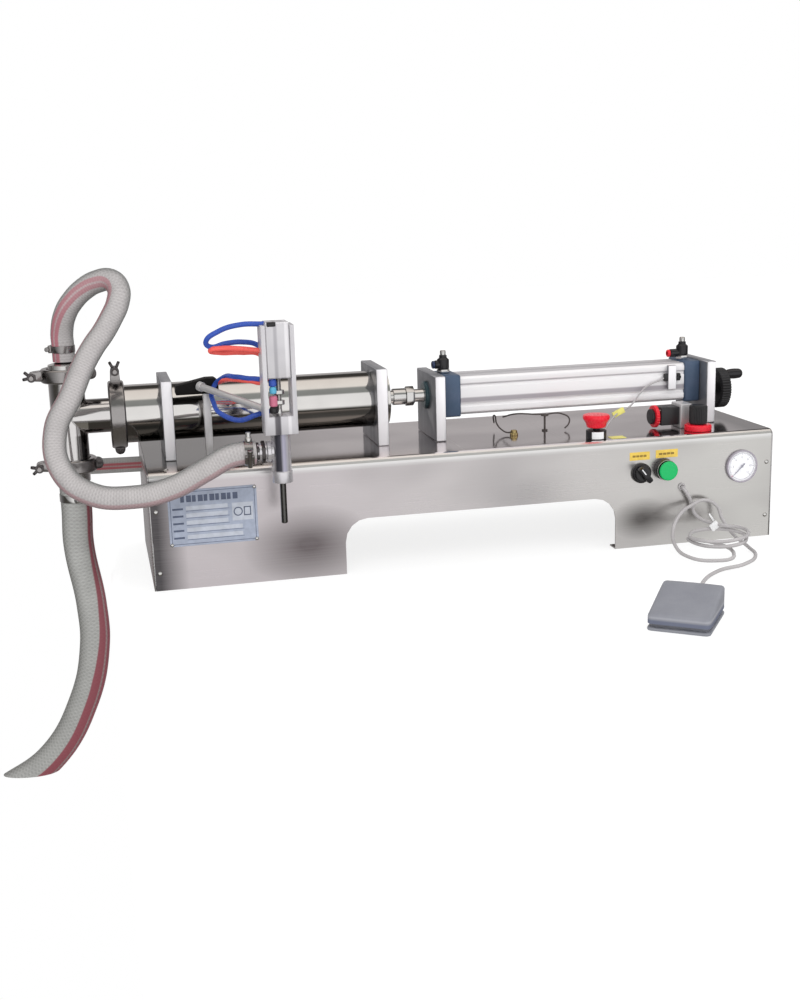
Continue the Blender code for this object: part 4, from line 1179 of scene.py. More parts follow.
def hoses():
    x = TEE.x
    inlet = middle("nozzle_body").y
    rising = [(x, 0.0, 0.318), (x, 0.0, 0.3416), (-0.5808, 0.0, 0.3593), (-0.5739, -0.008, 0.3867),
              (-0.5610, -0.014, 0.4065), (-0.5437, -0.020, 0.4225)]
    over = [(-0.5255, -0.028, 0.4321), (-0.5074, -0.038, 0.4341), (-0.4974, -0.050, 0.4232)]
    down = [(-0.4999, -0.062, 0.4031), (-0.5106, -0.070, 0.3832), (-0.5232, -0.078, 0.3643),
            (-0.5385, -0.086, 0.3456), (-0.5550, -0.094, 0.3200), (-0.5740, -0.112, 0.2820),
            (-0.5980, -0.128, 0.238), (-0.594, -0.150, 0.186), (-0.558, -0.170, 0.155)]
    across = [(-0.500, -0.181, 0.148), (-0.448, -0.187, 0.158), (-0.400, -0.195, 0.182),
              (-0.368, inlet, 0.199), (-0.350, inlet, 0.202), (-0.333, inlet, 0.202)]
    path = curve_through(at_height(rising + over + down + across), 8)
    piece("discharge_hose_clear", swept(path, HOSE_OUTER, 40, (-0.8, -0.6, 0), HOSE_INNER), DISCHARGE,
          stands_for="discharge_hose")
    hanging = [(x, 0, 0.130), (x, 0, 0.095), (-0.5825, 0, 0.043), (-0.5710, 0, -0.055),
               (-0.5715, 0, -0.120), (-0.5950, 0, -0.208), (-0.6500, 0, -0.294), (-0.7290, 0, -0.343)]
    path = curve_through(at_height(hanging), 16)
    hose = swept(path, SUCTION_OUTER, 48, (0, -1, 0), SUCTION_INNER)
    cut_level(hose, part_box("suction_hose")[0].z + 0.0120)
    piece("suction_hose_clear", hose, SUCTION, stands_for="suction_hose")
    stub = 0.055
    return_path = [(x, stub - 0.012, 0.1455), (x, stub + 0.006, 0.1455), (x + 0.010, 0.074, 0.1450),
                   (-0.545, 0.079, 0.1435), (-0.510, 0.078, 0.1430), (-0.474, 0.075, 0.1430)]
    path = curve_through(at_height(return_path), 10)
    piece("return_hose", swept(path, 0.0120, 32, (1, 0, 0), 0.0088), RETURN)


def cut_level(shape, height):
    """Cuts an open tube level at a height and closes the cut between its two walls."""
    everything = [*shape.verts, *shape.edges, *shape.faces]
    level = {"plane_co": (0, 0, height), "plane_no": (0, 0, 1)}
    made = bmesh.ops.bisect_plane(shape, geom=everything, clear_inner=True, **level)
    rim = [item for item in made["geom_cut"] if isinstance(item, bmesh.types.BMEdge)]
    bmesh.ops.bridge_loops(shape, edges=rim)


def hose_clip(name, at, way, radius, width, screw_turn, material):
    """A worm-drive clip: band, housing and hexagon screw."""
    band = pipe(radius + 0.0009, radius + 0.0001, -width / 2, width / 2, 64, way, at, 0.0002)
    turn = (way or Matrix.Identity(4)) @ spin(screw_turn, "Z")
    worm_way = turn @ Matrix.Translation((radius + 0.0052, 0, 0))
    housing = block(
        (radius - 0.0005, -0.0065, -width / 2 - 0.0006), (radius + 0.0048, 0.0065, width / 2 + 0.0006),
        0.0012, 3, turn, at,
    )
    worm = rod(0.0034, -0.012, 0.010, 24, worm_way @ TO_Y, at)
    head = placed(hex_nut(0.0046, -0.0165, -0.0115, TO_Y), worm_way, at)
    piece(name, joined([band, housing, worm, head]), material)


def hose_clips():
    hose_clip("outlet_clip", (TEE.x, 0, 0.336 + BENCH), None, HOSE_OUTER, 0.010, 160, CAST)
    hose_clip("inlet_clip", (TEE.x, 0, 0.1155 + BENCH), None, SUCTION_OUTER, 0.011, -60, POLISH_X)
    inlet = Vector((-0.3430, NOZZLE.y, NOZZLE_INLET))
    hose_clip("nozzle_clip", inlet, TO_X @ spin(90, "Z"), HOSE_OUTER, 0.012, 200, CAST)
    post = [(0, 0.0165), (0.0050, 0.0165), (0.0050, 0.0215), (0.0036, 0.0225), (0.0036, 0.0290),
            (0, 0.0295)]
    upright = lathe(post, 0.0005, 32, None, inlet + Vector((0.001, -0.002, 0)))
    piece("clip_screw", upright, POLISH_Z)
    nuts = [
        hex_nut(0.0140, 0.0105, 0.0150, TO_X, inlet),
        hex_nut(0.0160, 0.0180, 0.0230, TO_X, inlet),
    ]
    piece("inlet_nuts", joined(nuts), CAST_DARK)


def pedal_frame(width, depth, height=0.0):
    """A point in the row frame from the pedal's own width, depth and height over the bench."""
    centre = middle("pedal_base")
    turn = Matrix.Rotation(math.radians(PEDAL_TURN), 2)
    point = turn @ Vector((width, depth))
    return Vector((centre.x + point.x, centre.y + point.y, BENCH + height))


def pedal_cord():
    """Out of the front panel, two turns on the bench with one raised loop, then to the pedal."""
    radius = 0.0027
    grommet = (0.328, 0.0905)
    centre = (0.352, -0.225)
    points = [
        (grommet[0], PANEL + 0.0015, grommet[1]), (0.3288, -0.1520, 0.0880), (0.3355, -0.1545, 0.0780),
        (0.3420, -0.1530, 0.0635), (0.3480, -0.1570, 0.0460),
    ]
    for i in range(15):
        angle = math.radians(60 - 45 * i)
        reach = 0.0435 + 0.003 * math.sin(1.7 * i)
        lift = 0.036 - 0.0009 * i
        points.append((centre[0] + reach * math.cos(angle), centre[1] + reach * math.sin(angle), lift))
    points += [
        (0.352, -0.276, 0.0120), (0.316, -0.274, 0.0075), (0.292, -0.248, 0.0090),
        (0.288, -0.215, 0.0160), (0.294, -0.190, 0.0310), (0.311, -0.174, 0.0520),
        (0.340, -0.160, 0.0640), (0.361, -0.158, 0.0694), (0.381, -0.160, 0.0584),
        (0.387, -0.166, 0.0400), (0.398, -0.182, 0.0180), (0.406, -0.215, 0.0060),
        (0.398, -0.255, 0.0040), (0.360, -0.294, 0.0040), (0.311, -0.312, 0.0040),
        (0.256, -0.368, 0.0040),
    ]
    cord = at_height(points)
    for depth, height in ((0.078, 0.005), (0.0530, 0.0065)):
        cord.append(pedal_frame(0.008, depth, height))
    path = curve_through(cord, 8)
    piece("pedal_cord", swept(path, radius, 16, (0, 0, 1)), CABLE, stands_for="pedal_cable")
    rim = [(0.0028, -0.0005), (0.0058, -0.0005), (0.0058, 0.0020), (0.0028, 0.0020), (0.0028, -0.0005)]
    ring = lathe(rim, 0.0007, SMALL, TO_FRONT, (grommet[0], PANEL, grommet[1] + BENCH))
    piece("panel_grommet", ring, CABLE)
    tie_at = Vector((0.372, -0.178, 0.033 + BENCH))
    lean = spin(-35, "Y")
    tie = placed(pipe(0.0075, 0.0067, -0.0016, 0.0016, 32, TO_X), lean, tie_at)
    tail = placed(block((-0.0014, -0.0022, 0.0060), (0.0014, -0.0014, 0.0240), 0.0003, 2), lean, tie_at)
    lock = placed(block((-0.0120, -0.0085, -0.0010), (0.0020, -0.0062, 0.0110), 0.0008, 2), lean, tie_at)
    piece("cable_tie", joined([tie, tail, lock]), WHITE)


def air_tubes():
    """A blue and a red tube from the nozzle cylinder: a flat bow above, and a ring below it."""
    y = NOZZLE.y
    blue = [(-0.312, y, 0.377), (-0.345, -0.196, 0.377), (-0.373, -0.190, 0.369), (-0.390, -0.184, 0.355),
            (-0.384, -0.178, 0.3475), (-0.362, -0.173, 0.3505), (-0.340, -0.170, 0.3510),
            (-0.318, -0.166, 0.3450), (-0.303, -0.160, 0.325), (-0.306, -0.160, 0.300),
            (-0.325, -0.150, 0.297), (-0.345, -0.130, 0.298), (-0.362, -0.085, 0.291),
            (-0.374, -0.072, 0.276), (-0.377, -0.100, 0.259), (-0.367, -0.140, 0.246),
            (-0.346, -0.152, 0.240), (-0.324, -0.158, 0.247), (-0.306, -0.155, 0.250),
            (-0.296, -0.140, 0.222), (-0.292, -0.115, 0.195), (-0.292, -0.107, 0.181)]
    red = [(-0.316, -0.193, 0.3400), (-0.345, -0.188, 0.3440), (-0.370, -0.182, 0.3450),
           (-0.3840, -0.178, 0.3425), (-0.372, -0.172, 0.3385), (-0.342, -0.168, 0.3365),
           (-0.314, -0.163, 0.3310), (-0.304, -0.158, 0.3080), (-0.312, -0.155, 0.2925),
           (-0.328, -0.146, 0.2935), (-0.345, -0.126, 0.2935), (-0.358, -0.095, 0.2900),
           (-0.368, -0.070, 0.2830), (-0.376, -0.058, 0.2790)]
    for name, points, material in (("blue_air_tube", blue, TUBE_BLUE), ("red_air_tube", red, TUBE_RED)):
        path = curve_through(at_height(points), 10)
        piece(name, swept(path, 0.0036, 16, (0, 0, 1)), material)
    manifold = block((-0.312, -0.116, DECK + 0.0002), (-0.276, -0.098, DECK + 0.012), 0.001)
    piece("air_manifold", manifold, SATIN)


# Nozzle ----------------------------------------------------------------------------------


def nozzle_parts():
    dress("nozzle_frame", NOZZLE_METAL, 0.0007)
    dress("nozzle_cylinder", NOZZLE_METAL, 0.0008)
    low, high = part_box("nozzle_body")
    top = high.z
    collar_low = low.z
    at = (NOZZLE.x, NOZZLE.y, 0)
    neck = collar_low + 0.0165
    profile = [
        (0.0045, top), (0.0135, top), (0.0135, neck), (0.0145, neck - 0.0010),
        (0.0145, collar_low), (0.0090, collar_low), (0.0090, neck), (0.0095, neck + 0.002),
        (0.0095, top - 0.007), (0.0045, top - 0.007), (0.0045, top),
    ]
    tube = lathe(profile, 0.0006, 96, None, at)
    reach = low.x - NOZZLE.x
    barb = [(0.0095, reach), (0.0118, reach)]
    x = reach
    while x + 0.006 < -0.022:
        barb += [(0.0124, x + 0.005), (0.0116, x + 0.006)]
        x += 0.006
    barb += [(0.0120, -0.021), (0.0150, -0.020), (0.0150, -0.0155), (0.0120, -0.0145), (0.0120, -0.011),
             (0.0095, -0.011), (0.0095, reach)]
    inlet = lathe(barb, 0.0004, 64, TO_X, (NOZZLE.x, NOZZLE.y, NOZZLE_INLET))
    piece("nozzle_tube", joined([tube, inlet]), NOZZLE_TUBE, stands_for="nozzle_body")
    low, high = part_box("nozzle_tip")
    profile = [(0.003, low.z), (0.0045, low.z + 0.001), (0.0045, high.z - 0.0045), (0.008, high.z - 0.0025),
               (0.008, high.z), (0.003, high.z), (0.003, low.z)]
    piece("nozzle_spout", lathe(profile, 0.0005, SMALL, None, at), DARK_TIP,
          stands_for="nozzle_tip")
    low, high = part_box("nozzle_plunger")
    radius = 0.004
    nuts = (0.266 + BENCH, 0.280 + BENCH)
    cut_from = nuts[0] - 0.006
    piston = 0.330 + BENCH
    profile = [(0, low.z), (radius, low.z + 0.0055), (radius, cut_from)]
    profile += thread(radius, 0.0006, 0.0014, cut_from, piston)
    profile += [(radius, piston), (0.013, piston), (0.013, high.z), (0, high.z)]
    shapes = [turned(profile, 32, None, at)]
    for z in nuts:
        shapes.append(hex_nut(0.0082, z, z + 0.0065, None, at))
    piece("nozzle_rod", joined(shapes), POLISH_Z, stands_for="nozzle_plunger")


def nozzle_fittings():
    """Head plate and fittings on the nozzle cylinder, and the fittings seen in the frame's window."""
    low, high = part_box("nozzle_cylinder")
    port = block((low.x + 0.0015, NOZZLE.y - 0.0188, high.z - 0.0060),
                 (low.x + 0.0145, NOZZLE.y - 0.0100, high.z + 0.0004), 0.0018)
    piece("top_port", port, BLACK_GLOSS)
    head = block((low.x + 0.0004, NOZZLE.y - 0.0178, high.z - 0.0050),
                 (high.x - 0.0004, NOZZLE.y + 0.0176, high.z - 0.0002), 0.0008)
    piece("cylinder_head", head, PLATE)
    centre = (low.x + 0.0074, NOZZLE.y - 0.0090, BENCH)
    for name, z_low, z_high, reach, material in (
        ("blue_fitting", 0.2930, 0.3035, 0.0054, TUBE_BLUE),
        ("cyan_fitting", 0.2830, 0.2926, 0.0050, CYAN),
        ("pink_fitting", 0.2655, 0.2800, 0.0057, PINK),
        ("dark_fitting", 0.2560, 0.2650, 0.0060, BLACK_GLOSS),
    ):
        profile = [(0, z_low), (reach - 0.0010, z_low), (reach, z_low + 0.0015), (reach, z_high - 0.0025),
                   (reach - 0.0012, z_high), (0, z_high)]
        piece(name, lathe(profile, 0.0007, SMALL, None, centre), material)


def arm_parts():
    """Upright post, dark clamp block with a sloping top, and the bar that holds the nozzle."""
    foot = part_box("arm_post")[0].z
    post = block((-0.389, -0.066, foot), (-0.378, -0.054, 0.270 + BENCH), 0.0012)
    side = [(-0.428, 0.268), (-0.366, 0.268), (-0.366, 0.286), (-0.371, 0.290), (-0.384, 0.290),
            (-0.412, 0.284), (-0.428, 0.281)]
    outline = [(x, z + BENCH) for x, z in side]
    clamp_block = prism(outline, -0.072, -0.046, 0.0016, SHEET_TO_XZ)
    piece("arm_upright", joined(clamp_block, post), [JET, SATIN], stands_for="arm_post")
    start = Vector((-0.395, -0.077, 0.281 + BENCH))
    end = Vector((-0.3140, -0.1780, 0.2575 + BENCH))
    line = end - start
    way = line.to_track_quat("Z", "Y").to_matrix().to_4x4()
    bar = rod(0.005, 0, line.length, SMALL, way, start, 0.0008)
    piece("arm_bar", bar, SATIN, stands_for="arm_rod")
    collar = pipe(0.0068, 0.0051, 0.0005, 0.0080, SMALL, way, start, 0.0008)
    piece("arm_collar", collar, SATIN)


# Controls --------------------------------------------------------------------------------


def stop_button():
    centre = middle("estop_body")
    at = (centre.x, centre.y, DECK)
    dark = [(0.0053, -0.032), (0.0110, -0.032), (0.0110, 0.0003), (0.0155, 0.0003), (0.0155, 0.0130),
            (0.0148, 0.0135), (0.0053, 0.0135), (0.0053, -0.032)]
    band = [(0.0156, 0.0015), (0.01575, 0.0016), (0.01575, 0.0122), (0.0156, 0.0123)]
    sticker = turned(band, ROUND, None, at)

    def turn_of(face):
        spot = face.calc_center_median()
        return math.atan2(spot.x - centre.x, centre.y - spot.y)

    behind = [face for face in sticker.faces if not -0.75 <= turn_of(face) <= 0.45]
    bmesh.ops.delete(sticker, geom=behind, context="FACES")
    whole = joined(lathe(dark, 0.0005, ROUND, None, at), sticker)
    piece("stop_body", whole, [BLACK, WHITE], stands_for="estop_body")
    dress("estop_stem", BLACK, 0.0)
    head = [(0, 0.0178), (0.0142, 0.0178), (0.0160, 0.0245), (0.0204, 0.0310), (0.0205, 0.0350),
            (0.0192, 0.0373), (0.0120, 0.0379), (0, 0.0380)]
    piece("stop_head", lathe(head, 0.0014, 96, None, at), RED, stands_for="estop_head")
    mark = block((0.219, -0.130, DECK + 0.0001), (0.243, -0.112, DECK + 0.0005), 0.0001, 1)
    piece("stop_label", mark, TAG)


def regulator():
    centre = middle("regulator_knob")
    at = (centre.x, centre.y, DECK)
    under = -0.0025
    body = [(0, -0.065), (0.020, -0.065), (0.020, under), (0.0145, under), (0.0145, 0.0003), (0.014, 0.0004)]
    ring = [(0.0, 0.0003), (0.0210, 0.0003), (0.0210, 0.0080), (0.0190, 0.0097), (0, 0.0100)]
    whole = joined(*[lathe(profile, 0.0008, ROUND, None, at) for profile in (ring, body)])
    piece("regulator_ring", whole, [RED, BLACK], stands_for="regulator_body")
    knob = [(0, 0.0103), (0.0125, 0.0103), (0.0140, 0.0122), (0.0140, 0.0376), (0.0125, 0.0398), (0, 0.0400)]
    shape = lathe(knob, 0.0010, 192, None, at, (32, 0.0008, 0.0118, 0.0385))
    piece("regulator_dial_knob", shape, BLACK, stands_for="regulator_knob")


def throttle():
    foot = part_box("throttle_body")[0].z
    _, y, z = middle("throttle_knob")
    metal = block((0.351, y - 0.0175, foot), (0.371, y + 0.0175, z + 0.019), 0.0012)
    dark = block((0.3202, y - 0.0135, z - 0.0135), (0.3512, y + 0.0135, z + 0.0150), 0.0016)
    screws = []
    for dy in (-0.009, 0.009):
        for dz in (-0.009, 0.010):
            screws.append(socket_head((0.3202, y + dy, z + dz), TO_LEFT, 0.0020, 0.0003))
    piece("throttle_block", joined(metal, dark, screws), [SATIN, BLACK, POLISH_X],
          stands_for="throttle_body")
    low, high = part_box("throttle_knob")
    disc = [(0.0100, 0.3115), (0.0176, 0.3115), (0.0176, 0.3170), (0.0100, 0.3170), (0.0100, 0.3115)]
    ribbed = lathe(disc, 0.0007, 144, TO_X, (0, y, z), (24, 0.0009, 0.3118, 0.3167))
    hub = [(0, low.x), (0.0110, low.x), (0.0120, low.x + 0.001), (0.0120, 0.3114), (0.0100, 0.3116),
           (0.0100, high.x), (0, high.x)]
    dark_hub = lathe(hub, 0.0006, ROUND, TO_X, (0, y, z))
    piece("throttle_disc", joined(ribbed, dark_hub), [RED, BLACK], stands_for="throttle_knob")


def selector():
    centre = middle("selector_bezel")
    at = (centre.x, PANEL, centre.z)
    bezel = [(0, 0.030), (0.011, 0.030), (0.011, -0.0003), (0.0155, -0.0003), (0.0155, -0.0040),
             (0.0140, -0.0060), (0, -0.0060)]
    piece("selector_ring", lathe(bezel, 0.0007, ROUND, TO_Y, at), BLACK_GLOSS,
          stands_for="selector_bezel")
    disc = [(0, -0.0063), (0.0125, -0.0063), (0.0125, -0.0095), (0.0115, -0.0105), (0, -0.0105)]
    disc = lathe(disc, 0.0006, ROUND, TO_Y, at)
    outline = rounded_outline(0.0135, 0.0042, 0.0026)
    turn = spin(52, "Y")
    lever = placed(prism(outline, -0.0228, -0.0090, 0.0009, SHEET_TO_XZ), turn, at)
    mark = placed(block((-0.0125, -0.0232, -0.0008), (-0.0020, -0.0226, 0.0008), 0.0002, 1), turn, at)
    piece("selector_lever", joined([disc, lever], mark), [BLACK_GLOSS, WHITE], stands_for="selector_knob")


def start_button():
    centre = middle("start_bezel")
    at = (centre.x, PANEL, centre.z)
    bezel = [(0.0085, 0.030), (0.011, 0.030), (0.011, -0.0003), (0.0165, -0.0003), (0.0165, -0.0100),
             (0.0158, -0.0118), (0.0153, -0.0120), (0.0153, -0.0098), (0.0085, -0.0098), (0.0085, 0.030)]
    piece("start_ring", lathe(bezel, 0.0005, ROUND, TO_Y, at), BLACK, stands_for="start_bezel")
    chrome = pipe(0.0163, 0.0153, -0.0128, -0.0119, ROUND, TO_Y, at, 0.0003)
    piece("start_chrome", chrome, POLISH_Y)
    button = [(0, 0.026), (0.008, 0.026), (0.008, -0.0150), (0.0148, -0.0155), (0.0148, -0.0178),
              (0.0136, -0.0188), (0, -0.0190)]
    piece("start_cap", lathe(button, 0.0007, ROUND, TO_Y, at), GREEN, stands_for="start_button")


def labels():
    """Two plain yellow labels with blank bars where words would be."""
    for name, x_low, x_high, z_low, z_high in (
        ("selector_label", 0.2418, 0.2745, 0.1370, 0.1495),
        ("start_label", 0.2843, 0.3205, 0.1380, 0.1505),
    ):
        sheet = block((x_low, PANEL - 0.0004, z_low + BENCH), (x_high, PANEL + 0.0002, z_high + BENCH),
                      0.0001, 1)
        bars = []
        count = 4
        width = (x_high - x_low) * 0.15
        start = (x_low + x_high) / 2 - count * (width + 0.001) / 2
        z = (z_low + z_high) / 2 + BENCH
        for i in range(count):
            x = start + i * (width + 0.001)
            bars.append(block((x, PANEL - 0.0005, z - 0.0016), (x + width, PANEL - 0.0003, z + 0.0016),
                              0.00003, 1))
        piece(name, joined(sheet, bars), [YELLOW, LABEL_INK])


def numeral(text, size, at):
    """A dial figure as a thin mesh that faces the operator."""
    curve = bpy.data.curves.new("figure", "FONT")
    curve.body = text
    curve.size = size
    curve.extrude = 0.00004
    curve.align_x = "CENTER"
    curve.align_y = "CENTER"
    holder = bpy.data.objects.new("figure", curve)
    bpy.context.scene.collection.objects.link(holder)
    bpy.context.view_layer.update()
    mesh = bpy.data.meshes.new_from_object(holder)
    bpy.data.objects.remove(holder)
    shape = bmesh.new()
    shape.from_mesh(mesh)
    bpy.data.meshes.remove(mesh)
    return placed(shape, TO_FRONT, at)


def gauge():
    """A nearly flush panel gauge: thin rim, white dial, needle and glass."""
    centre = middle("gauge_case")
    at = Vector((centre.x, PANEL, centre.z))
    case = [(0, 0.028), (0.019, 0.028), (0.019, -0.0003), (0.0257, -0.0003), (0.0257, -0.0044),
            (0.0252, -0.0052), (0.0238, -0.0052), (0.0234, -0.0046), (0.0234, -0.0020), (0, -0.0020)]
    piece("gauge_shell", lathe(case, 0.0004, 96, TO_Y, at), GAUGE_RIM, stands_for="gauge_case")
    face = turned([(0, -0.0023), (0.0233, -0.0023), (0.0233, -0.0020), (0, -0.0020)], 96, TO_Y, at)
    ticks = []
    start = -135
    sweep = 270
    for i in range(31):
        major = i % 5 == 0
        inner = 0.0175 if major else 0.0188
        half = 0.00035 if major else 0.00018
        tick = block((-half, -0.00245, inner), (half, -0.0023, 0.0206), 0.00003, 1)
        ticks.append(placed(tick, spin(start + sweep * i / 30, "Y"), at))
    scale = pipe(0.0211, 0.0206, -0.00245, -0.0023, 96, TO_Y, at, 0.00003)
    figures = []
    for i in range(7):
        angle = math.radians(start + sweep * i / 6)
        spot = at + Vector((0.0142 * math.sin(angle), -0.0024, 0.0142 * math.cos(angle)))
        figures.append(numeral(str(2 * i), 0.0042, spot))
    spot = at + Vector((-0.0160, -0.00245, -0.0150))
    dot = turned([(0, -0.0002), (0.0013, -0.0002), (0.0013, 0.0001), (0, 0.0001)], 20, TO_Y, spot)
    piece("gauge_dial", joined(face, [*ticks, scale, *figures], dot), [DIAL_WHITE, GAUGE_INK, PINK])
    blade = [(-0.0008, 0.0060), (-0.0003, 0.0182), (0.0003, 0.0182), (0.0008, 0.0060), (0.0012, -0.0060),
             (-0.0012, -0.0060)]
    pointer = prism(blade, -0.0038, -0.0033, 0.0, SHEET_TO_XZ)
    boss = [(0, -0.0042), (0.0020, -0.0042), (0.0024, -0.0034), (0, -0.0031)]
    hub = lathe(boss, 0.0003, 32, TO_Y, at)
    piece("gauge_pointer", joined([placed(pointer, spin(start, "Y"), at), hub]), GAUGE_INK,
          stands_for="gauge_needle")
    lens = [(0, -0.0050), (0.0120, -0.0050), (0.0200, -0.0049), (0.0235, -0.0048), (0.0235, -0.0046),
            (0, -0.0048)]
    piece("gauge_lens", turned(lens, 96, TO_Y, at), LENS)


# Sensor and cables on the deck -----------------------------------------------------------


def sensor_parts():
    """Reed sensor strapped to the barrel's front side, its lead, and the cables on the deck."""
    side = AXIS.y - 0.030
    z = 0.2440 + BENCH
    housing = block((0.346, side - 0.0062, z - 0.006), (0.374, side - 0.0004, z + 0.006), 0.0015)
    strap = block((0.352, side - 0.0076, z - 0.019), (0.366, side - 0.0002, z + 0.019), 0.0010)
    strap_screw = socket_head((0.3700, side - 0.0062, z), TO_FRONT, 0.0035, 0.003)
    piece("reed_sensor", joined(housing, strap, strap_screw), [BLACK, PLATE, BLACK_GLOSS])
    lead = at_height([(0.346, -0.0335, 0.2430), (0.3417, -0.0335, 0.2410), (0.3177, -0.036, 0.2329),
                      (0.3002, -0.040, 0.2194), (0.2869, -0.045, 0.2060), (0.2704, -0.052, 0.1995),
                      (0.2593, -0.057, 0.1967), (0.2474, -0.062, 0.1885), (0.2378, -0.066, 0.1795),
                      (0.2330, -0.068, 0.1715)])
    piece("sensor_lead", swept(curve_through(lead, 8), 0.0013, 12, (0, 0, 1)), CABLE)
    flag = block((-0.010, -0.0022, -0.0045), (0.010, 0.0022, 0.0045), 0.0006, 2,
                 spin(-25, "Y"), (0.2593, -0.057, 0.1967 + BENCH))
    piece("lead_tag", flag, TAG)
    post = (0.148, -0.025, 0)
    stem = rod(0.0016, DECK, 0.0235, 20, None, post)
    cap = rod(0.0060, 0.0235, 0.0265, 28, None, post, 0.0010)
    foot = rod(0.0045, DECK, 0.0020, 24, None, post)
    piece("cable_post", joined([stem, cap, foot]), CORD_DARK)
    gland = [(0, 0), (0.0065, 0), (0.0065, 0.003), (0.0052, 0.0045), (0.0052, 0.0070), (0.0040, 0.0085),
             (0, 0.0085)]
    grips = (12, 0.0008, 0.0002, 0.0045)
    shape = lathe(gland, 0.0006, 48, None, (0.090, -0.046, DECK), grips)
    piece("brass_gland", shape, BRASS)
    loops = (
        [(0.078, 0.020, 0.180), (0.0722, 0.004, 0.1935), (0.0710, -0.010, 0.1952),
         (0.0699, -0.020, 0.1862), (0.0749, -0.032, 0.1772), (0.0826, -0.042, 0.1741),
         (0.090, -0.046, 0.1775)],
        [(0.0900, 0.010, 0.1900), (0.1032, -0.020, 0.1989), (0.1187, -0.020, 0.1979),
         (0.1336, -0.022, 0.1964), (0.1418, -0.024, 0.1962), (0.1500, -0.025, 0.1958)],
        [(0.1490, -0.025, 0.1955), (0.1664, -0.024, 0.1967), (0.1776, -0.024, 0.1947),
         (0.1882, -0.026, 0.1879), (0.1867, -0.030, 0.1800), (0.1785, -0.034, 0.1735)],
    )
    shapes = [swept(curve_through(at_height(points), 8), 0.0012, 12, (0, 0, 1)) for points in loops]
    piece("deck_cables", joined(shapes), CORD_DARK)


# Foot pedal ------------------------------------------------------------------------------


def pedal_parts():
    """A sloping treadle hinged at the rear over a low base, in the pedal's own frame."""
    turn = spin(PEDAL_TURN, "Z")
    spot = pedal_frame(0, 0)
    outline = rounded_outline(PEDAL_HALF, PEDAL_BACK, 0.007)
    tray = prism(outline, 0.0, 0.0040, 0.0010, turn, spot)
    outline = rounded_outline(PEDAL_HALF - 0.004, PEDAL_BACK - 0.006, 0.006)
    stand = prism(outline, 0.003, 0.0105, 0.0008, turn, spot)
    piece("pedal_tray", joined([tray, stand]), PEDAL_GREY, stands_for="pedal_base")
    shell = treadle_shell(PEDAL_HALF, PEDAL_BACK)
    piece("treadle_cover", placed(shell, turn, spot), PEDAL_GREY, stands_for="pedal_treadle", smooth=60)


def treadle_rows(shape, half, back, wall):
    """Cross sections of the treadle cover from front to rear, set in by the wall's thickness."""
    floor = 0.0094
    length = 2 * back
    end_radius = 0.009
    # Each row: depth from the front, and the top's height there.
    stations = [
        (0.0000, 0.0150), (0.0006, 0.0178), (0.0020, 0.0198), (0.0045, 0.0212), (0.0080, 0.0220),
        (0.0140, 0.0231), (0.0400, 0.0288), (0.0650, 0.0343), (0.0860, 0.0387), (0.0920, 0.0394),
        (0.0965, 0.0386), (0.0996, 0.0366), (0.1013, 0.0334), (length, 0.0220),
    ]
    rows = []
    for depth, top in stations:
        inward = max(end_radius - max(min(depth, length - depth), 0.0), 0.0)
        pull = end_radius - math.sqrt(end_radius ** 2 - inward ** 2)
        width = half - pull * 0.7 - wall
        top -= wall
        y = (depth - back) * (1 - wall / back)
        corner = min(0.0045, (top - floor) * 0.6)
        bend = arc((width - corner, top - corner), corner, 0, 90, 4)
        right = [(width, floor), *bend, (width * 0.5, top + 0.0003)]
        section = [(-x, z) for x, z in right] + [(0, top + 0.0004)] + right[::-1]
        rows.append([shape.verts.new((x, y, z)) for x, z in section])
    return rows


def treadle_shell(half, back):
    """A crowned cover lofted from front to rear, hollow and open underneath."""
    shape = bmesh.new()
    outer = treadle_rows(shape, half, back, 0.0)
    inner = treadle_rows(shape, half, back, 0.0025)
    for rows in (outer, inner):
        for a, b in zip(rows, rows[1:]):
            for i in range(len(a) - 1):
                shape.faces.new((a[i], a[i + 1], b[i + 1], b[i]))
        shape.faces.new(rows[0])
        shape.faces.new(list(reversed(rows[-1])))
    for i in range(len(outer) - 1):
        for side in (0, -1):
            shape.faces.new((outer[i][side], outer[i + 1][side], inner[i + 1][side], inner[i][side]))
    for end in (0, -1):
        shape.faces.new((outer[end][0], outer[end][-1], inner[end][-1], inner[end][0]))
    bmesh.ops.recalc_face_normals(shape, faces=shape.faces)
    return shape


# Stage, light and camera -----------------------------------------------------------------


def stage_material(name, colour):
    s = Surface(name, "none", colour, 0.6, Specular_IOR_Level=0.1, Emission_Color=(1.0, 1.0, 1.0, 1.0),
                Emission_Strength=0.80)
    s.set("Base Color", s.uneven(s.noise(3, 2), colour, tuple(c * 0.99 for c in colour)))
    return s.material


def stage_sheet():
    """One pale sheet: the bench top, whose left edge is rounded down in front of the hose."""
    edge = -0.520
    radius = 0.020
    profile = [(edge - radius, cad_low.z - 1.5)]
    profile += [(edge - radius * math.cos(a), BENCH - radius + radius * math.sin(a))
                for a in (math.radians(10 * i) for i in range(10))]
    profile += [(7.0, BENCH)]
    shape = bmesh.new()
    rows = []
    for y in (-6.0, 5.0):
        rows.append([shape.verts.new((x, y, z - 0.0002)) for x, z in profile])
    for i in range(len(profile) - 1):
        shape.faces.new((rows[0][i], rows[0][i + 1], rows[1][i + 1], rows[1][i]))
    mesh = bpy.data.meshes.new("bench")
    shape.to_mesh(mesh)
    shape.free()
    mesh.shade_smooth()
    mesh.materials.append(stage_material("bench_white", (0.26, 0.26, 0.26)))
    bench = bpy.data.objects.new("bench", mesh)
    bpy.context.scene.collection.objects.link(bench)
    bench.visible_glossy = False


